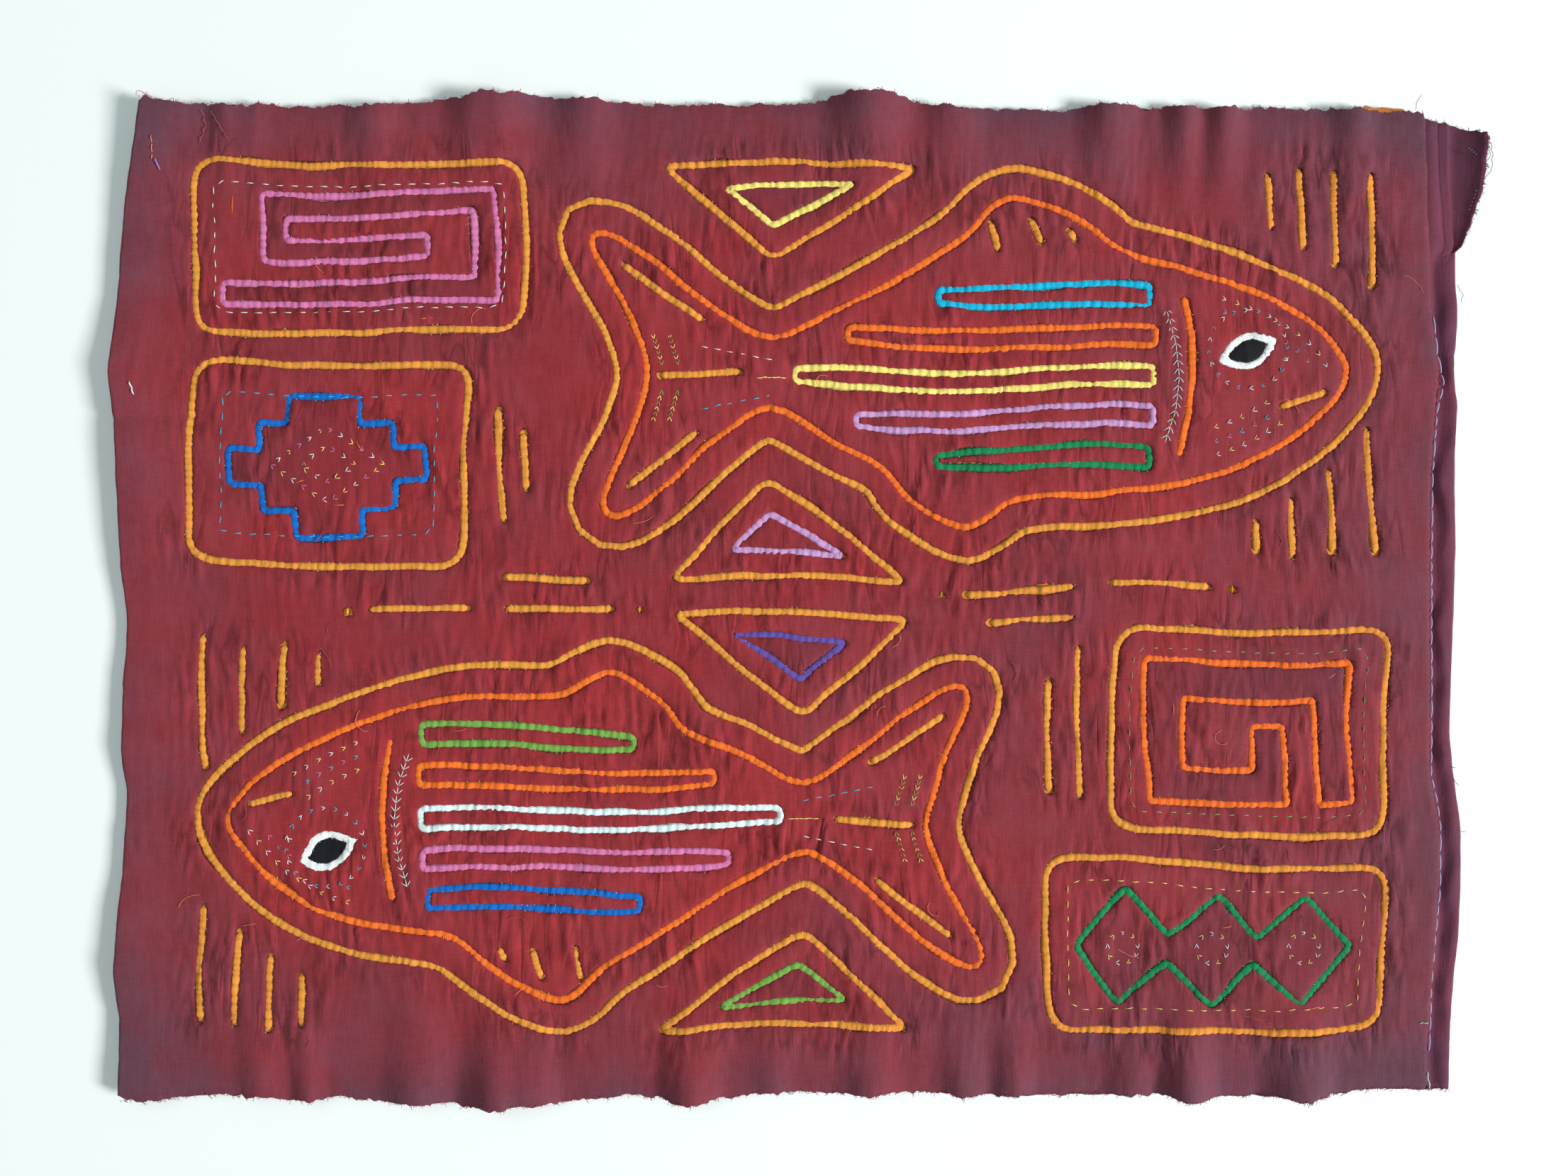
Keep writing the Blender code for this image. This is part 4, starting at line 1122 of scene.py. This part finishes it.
x = -212.0
while x < 205:
    for table, sign in ((TOP_EDGE, 1), (BOTTOM_EDGE, -1)):
        y = edge_at(table, x) - sign * 0.3 + frayed(x, 91.0)
        if edge_at(LEFT_EDGE, y) + 0.4 < x and (x < 197 or sign < 0):
            level = lie(x, y) + chance.choice((0.5, 1.0, 1.7))
            raw_fibres(x, y, level, sign * math.pi / 2, red_fibres if chance.random() < 0.8 else dark_fibres)
    x += chance.uniform(0.15, 0.45)
flap_side = [row[-1] for row in base_rows if row[-1][1] > FLAP_FOOT_Y]
flap_top = [point for point in base_rows[-1] if point[0] > FLAP_FROM_X]
for line, outward, density in ((flap_side, 0.1, 9), (flap_top, 1.5, 4)):
    for a, b in zip(line, line[1:]):
        for _ in range(density):
            share = chance.random()
            x, y, z = (p + share * (q - p) for p, q in zip(a, b))
            raw_fibres(x, y, z, outward, red_fibres if chance.random() < 0.4 else dark_fibres, 0.9)


def strand(group, height, radius, *places):
    """A loose thread through places on the panel or beside it."""
    fine = evened(places, 0.8, False)
    group.add([
        (x, y, height + lie(x, y) + 0.35 * math.sin(1.7 * i)) for i, (x, y) in enumerate(fine)
    ], radius)


for loose in (
    (dark_fibres, 2.0, 0.09, (194, 154), (194.6, 157), (196.2, 159)),
    (dark_fibres, 2.2, 0.09, (214.9, 131.5), (218, 135.3), (218.3, 140.9), (217.2, 146.3)),
    (dark_fibres, 2.5, 0.08, (215.3, 136.2), (217.6, 140), (216.7, 144.3)),
    (dark_fibres, 1.5, 0.09, (207.4, 99.4), (209.5, 96.4), (208.8, 93.7)),
    (dark_fibres, 1.2, 0.09, (205.5, -52.6), (207.2, -52.6)),
    (dark_fibres, 1.2, 0.09, (206.2, -55.9), (208.2, -58.6)),
    (dark_fibres, 1.0, 0.09, (208.8, -72.8), (210.6, -73)),
    (red_fibres, 2.6, 0.12, (-187, 154), (-185.8, 149), (-188, 143.6)),
    (red_fibres, 2.6, 0.12, (-183.8, 153.3), (-181.6, 149.6), (-178.4, 144.5)),
    (red_fibres, 2.4, 0.1, (-205.8, 157.1), (-205.6, 158.9), (-201.1, 156.7)),
    (bright_fibres, STITCH_LIFT, 0.16, (-202, 145.4), (-202, 137.8)),
    (pale_threads, STITCH_LIFT + 0.2, 0.24, (-208.8, 68.4), (-207.6, 64.4)),
    (pale_threads, STITCH_LIFT, 0.16, (195.2, -132.7), (198, -132.7)),
    (pale_threads, 1.8, 0.22, (197.9, -148.2), (198.4, -151.4), (199, -154)),
):
    strand(*loose)
for x_from, y_from, x_to, y_to, count in ((210.2, 141.6, 212.4, 139.8, 4), (212.9, 128.6, 210.9, 122.8, 6)):
    for k in range(count):
        x = x_from + (x_to - x_from) * k / (count - 1)
        y = y_from + (y_to - y_from) * k / (count - 1)
        strand(pale_threads, 2.0 * between(FLAP_RISE, y) + 0.9, 0.07, (x, y), (x + 0.3, y + 0.15))
FLUFF_COUNT = 34
for _ in range(FLUFF_COUNT):
    x, y = chance.uniform(-195, 190), chance.uniform(-140, 140)
    heading, turn = chance.uniform(0, math.tau), chance.uniform(-0.32, 0.32)
    fluff = []
    for _ in range(chance.randint(7, 14)):
        fluff.append(laid(x, y, STITCH_LIFT + chance.uniform(0.0, 0.25)))
        x, y = x + 0.7 * math.cos(heading), y + 0.7 * math.sin(heading)
        heading += turn + chance.uniform(-0.15, 0.15)
    (bright_fibres if chance.random() < 0.6 else red_fibres).add(fluff, 0.075)
x, y = -201.5, 137.4
seam_end = Threads()
seam_end.add([laid(x, y), laid(x + 0.6, y + 0.5, STITCH_LIFT + 0.6), laid(x + 1.8, y - 2.6)], 0.3, 6)
embroidered.append(seam_end.made("seam_thread_end", (0.330, 0.220, 0.620), "lilac_cotton"))
red_fibres.made("red_fibres", (0.420, 0.070, 0.085), "red_cotton")
dark_fibres.made("dark_fibres", (0.130, 0.030, 0.050), "red_cotton")
bright_fibres.made("bright_fibres", (0.850, 0.240, 0.120), "orange_cotton")
pale_threads.made("pale_threads", (0.700, 0.820, 0.840), "ice_cotton")

# The floor is a plain pale sheet of card, lit by a large soft lamp at the right and a weaker one from the
# left. The camera looks straight down on the panel.
FRAME_WIDTH = 496.6
CENTRE = (-4.4, 3.9)
LENS, SENSOR = 28, 36
floor_mesh = bpy.data.meshes.new("floor")
floor_mesh.from_pydata([(-4, -4, 0), (4, -4, 0), (4, 4, 0), (-4, 4, 0)], [], [(0, 1, 2, 3)])
floor = bpy.data.objects.new("floor", floor_mesh)
bpy.context.scene.collection.objects.link(floor)
card = bpy.data.materials.new("pale_card")
card.use_nodes = True
card_shader = card.node_tree.nodes["Principled BSDF"]
card_shader.inputs["Base Color"].default_value = (0.90, 0.955, 0.95, 1)
card_shader.inputs["Roughness"].default_value = 0.9
floor_mesh.materials.append(card)


def softbox(name, place, size, power, colour):
    """A square lamp that faces the panel."""
    lamp = bpy.data.lights.new(name, "AREA")
    lamp.size, lamp.energy, lamp.color = size, power, colour
    holder = bpy.data.objects.new(name, lamp)
    holder.location = place
    holder.rotation_euler = (-Vector(place)).to_track_quat("-Z", "Y").to_euler()
    bpy.context.scene.collection.objects.link(holder)


softbox("key_light", (2.5, -0.65, 1.4), 0.7, 124, (1.0, 0.99, 0.98))
softbox("fill_light", (-0.9, 0.35, 1.1), 1.2, 5.4, (0.93, 1.0, 1.0))
world = bpy.data.worlds.new("soft_room")
world.use_nodes = True
sky = world.node_tree.nodes["Background"]
sky.inputs["Color"].default_value = (0.86, 0.99, 1.0, 1)
sky.inputs["Strength"].default_value = 0.28
bpy.context.scene.world = world

camera = bpy.data.objects.new("camera", bpy.data.cameras.new("camera"))
camera.data.lens = LENS
camera.data.sensor_width = SENSOR
camera.location = (CENTRE[0] * MM, CENTRE[1] * MM, FRAME_WIDTH * MM * LENS / SENSOR)
bpy.context.scene.collection.objects.link(camera)
bpy.context.scene.camera = camera
bpy.context.scene.view_settings.view_transform = "Standard"
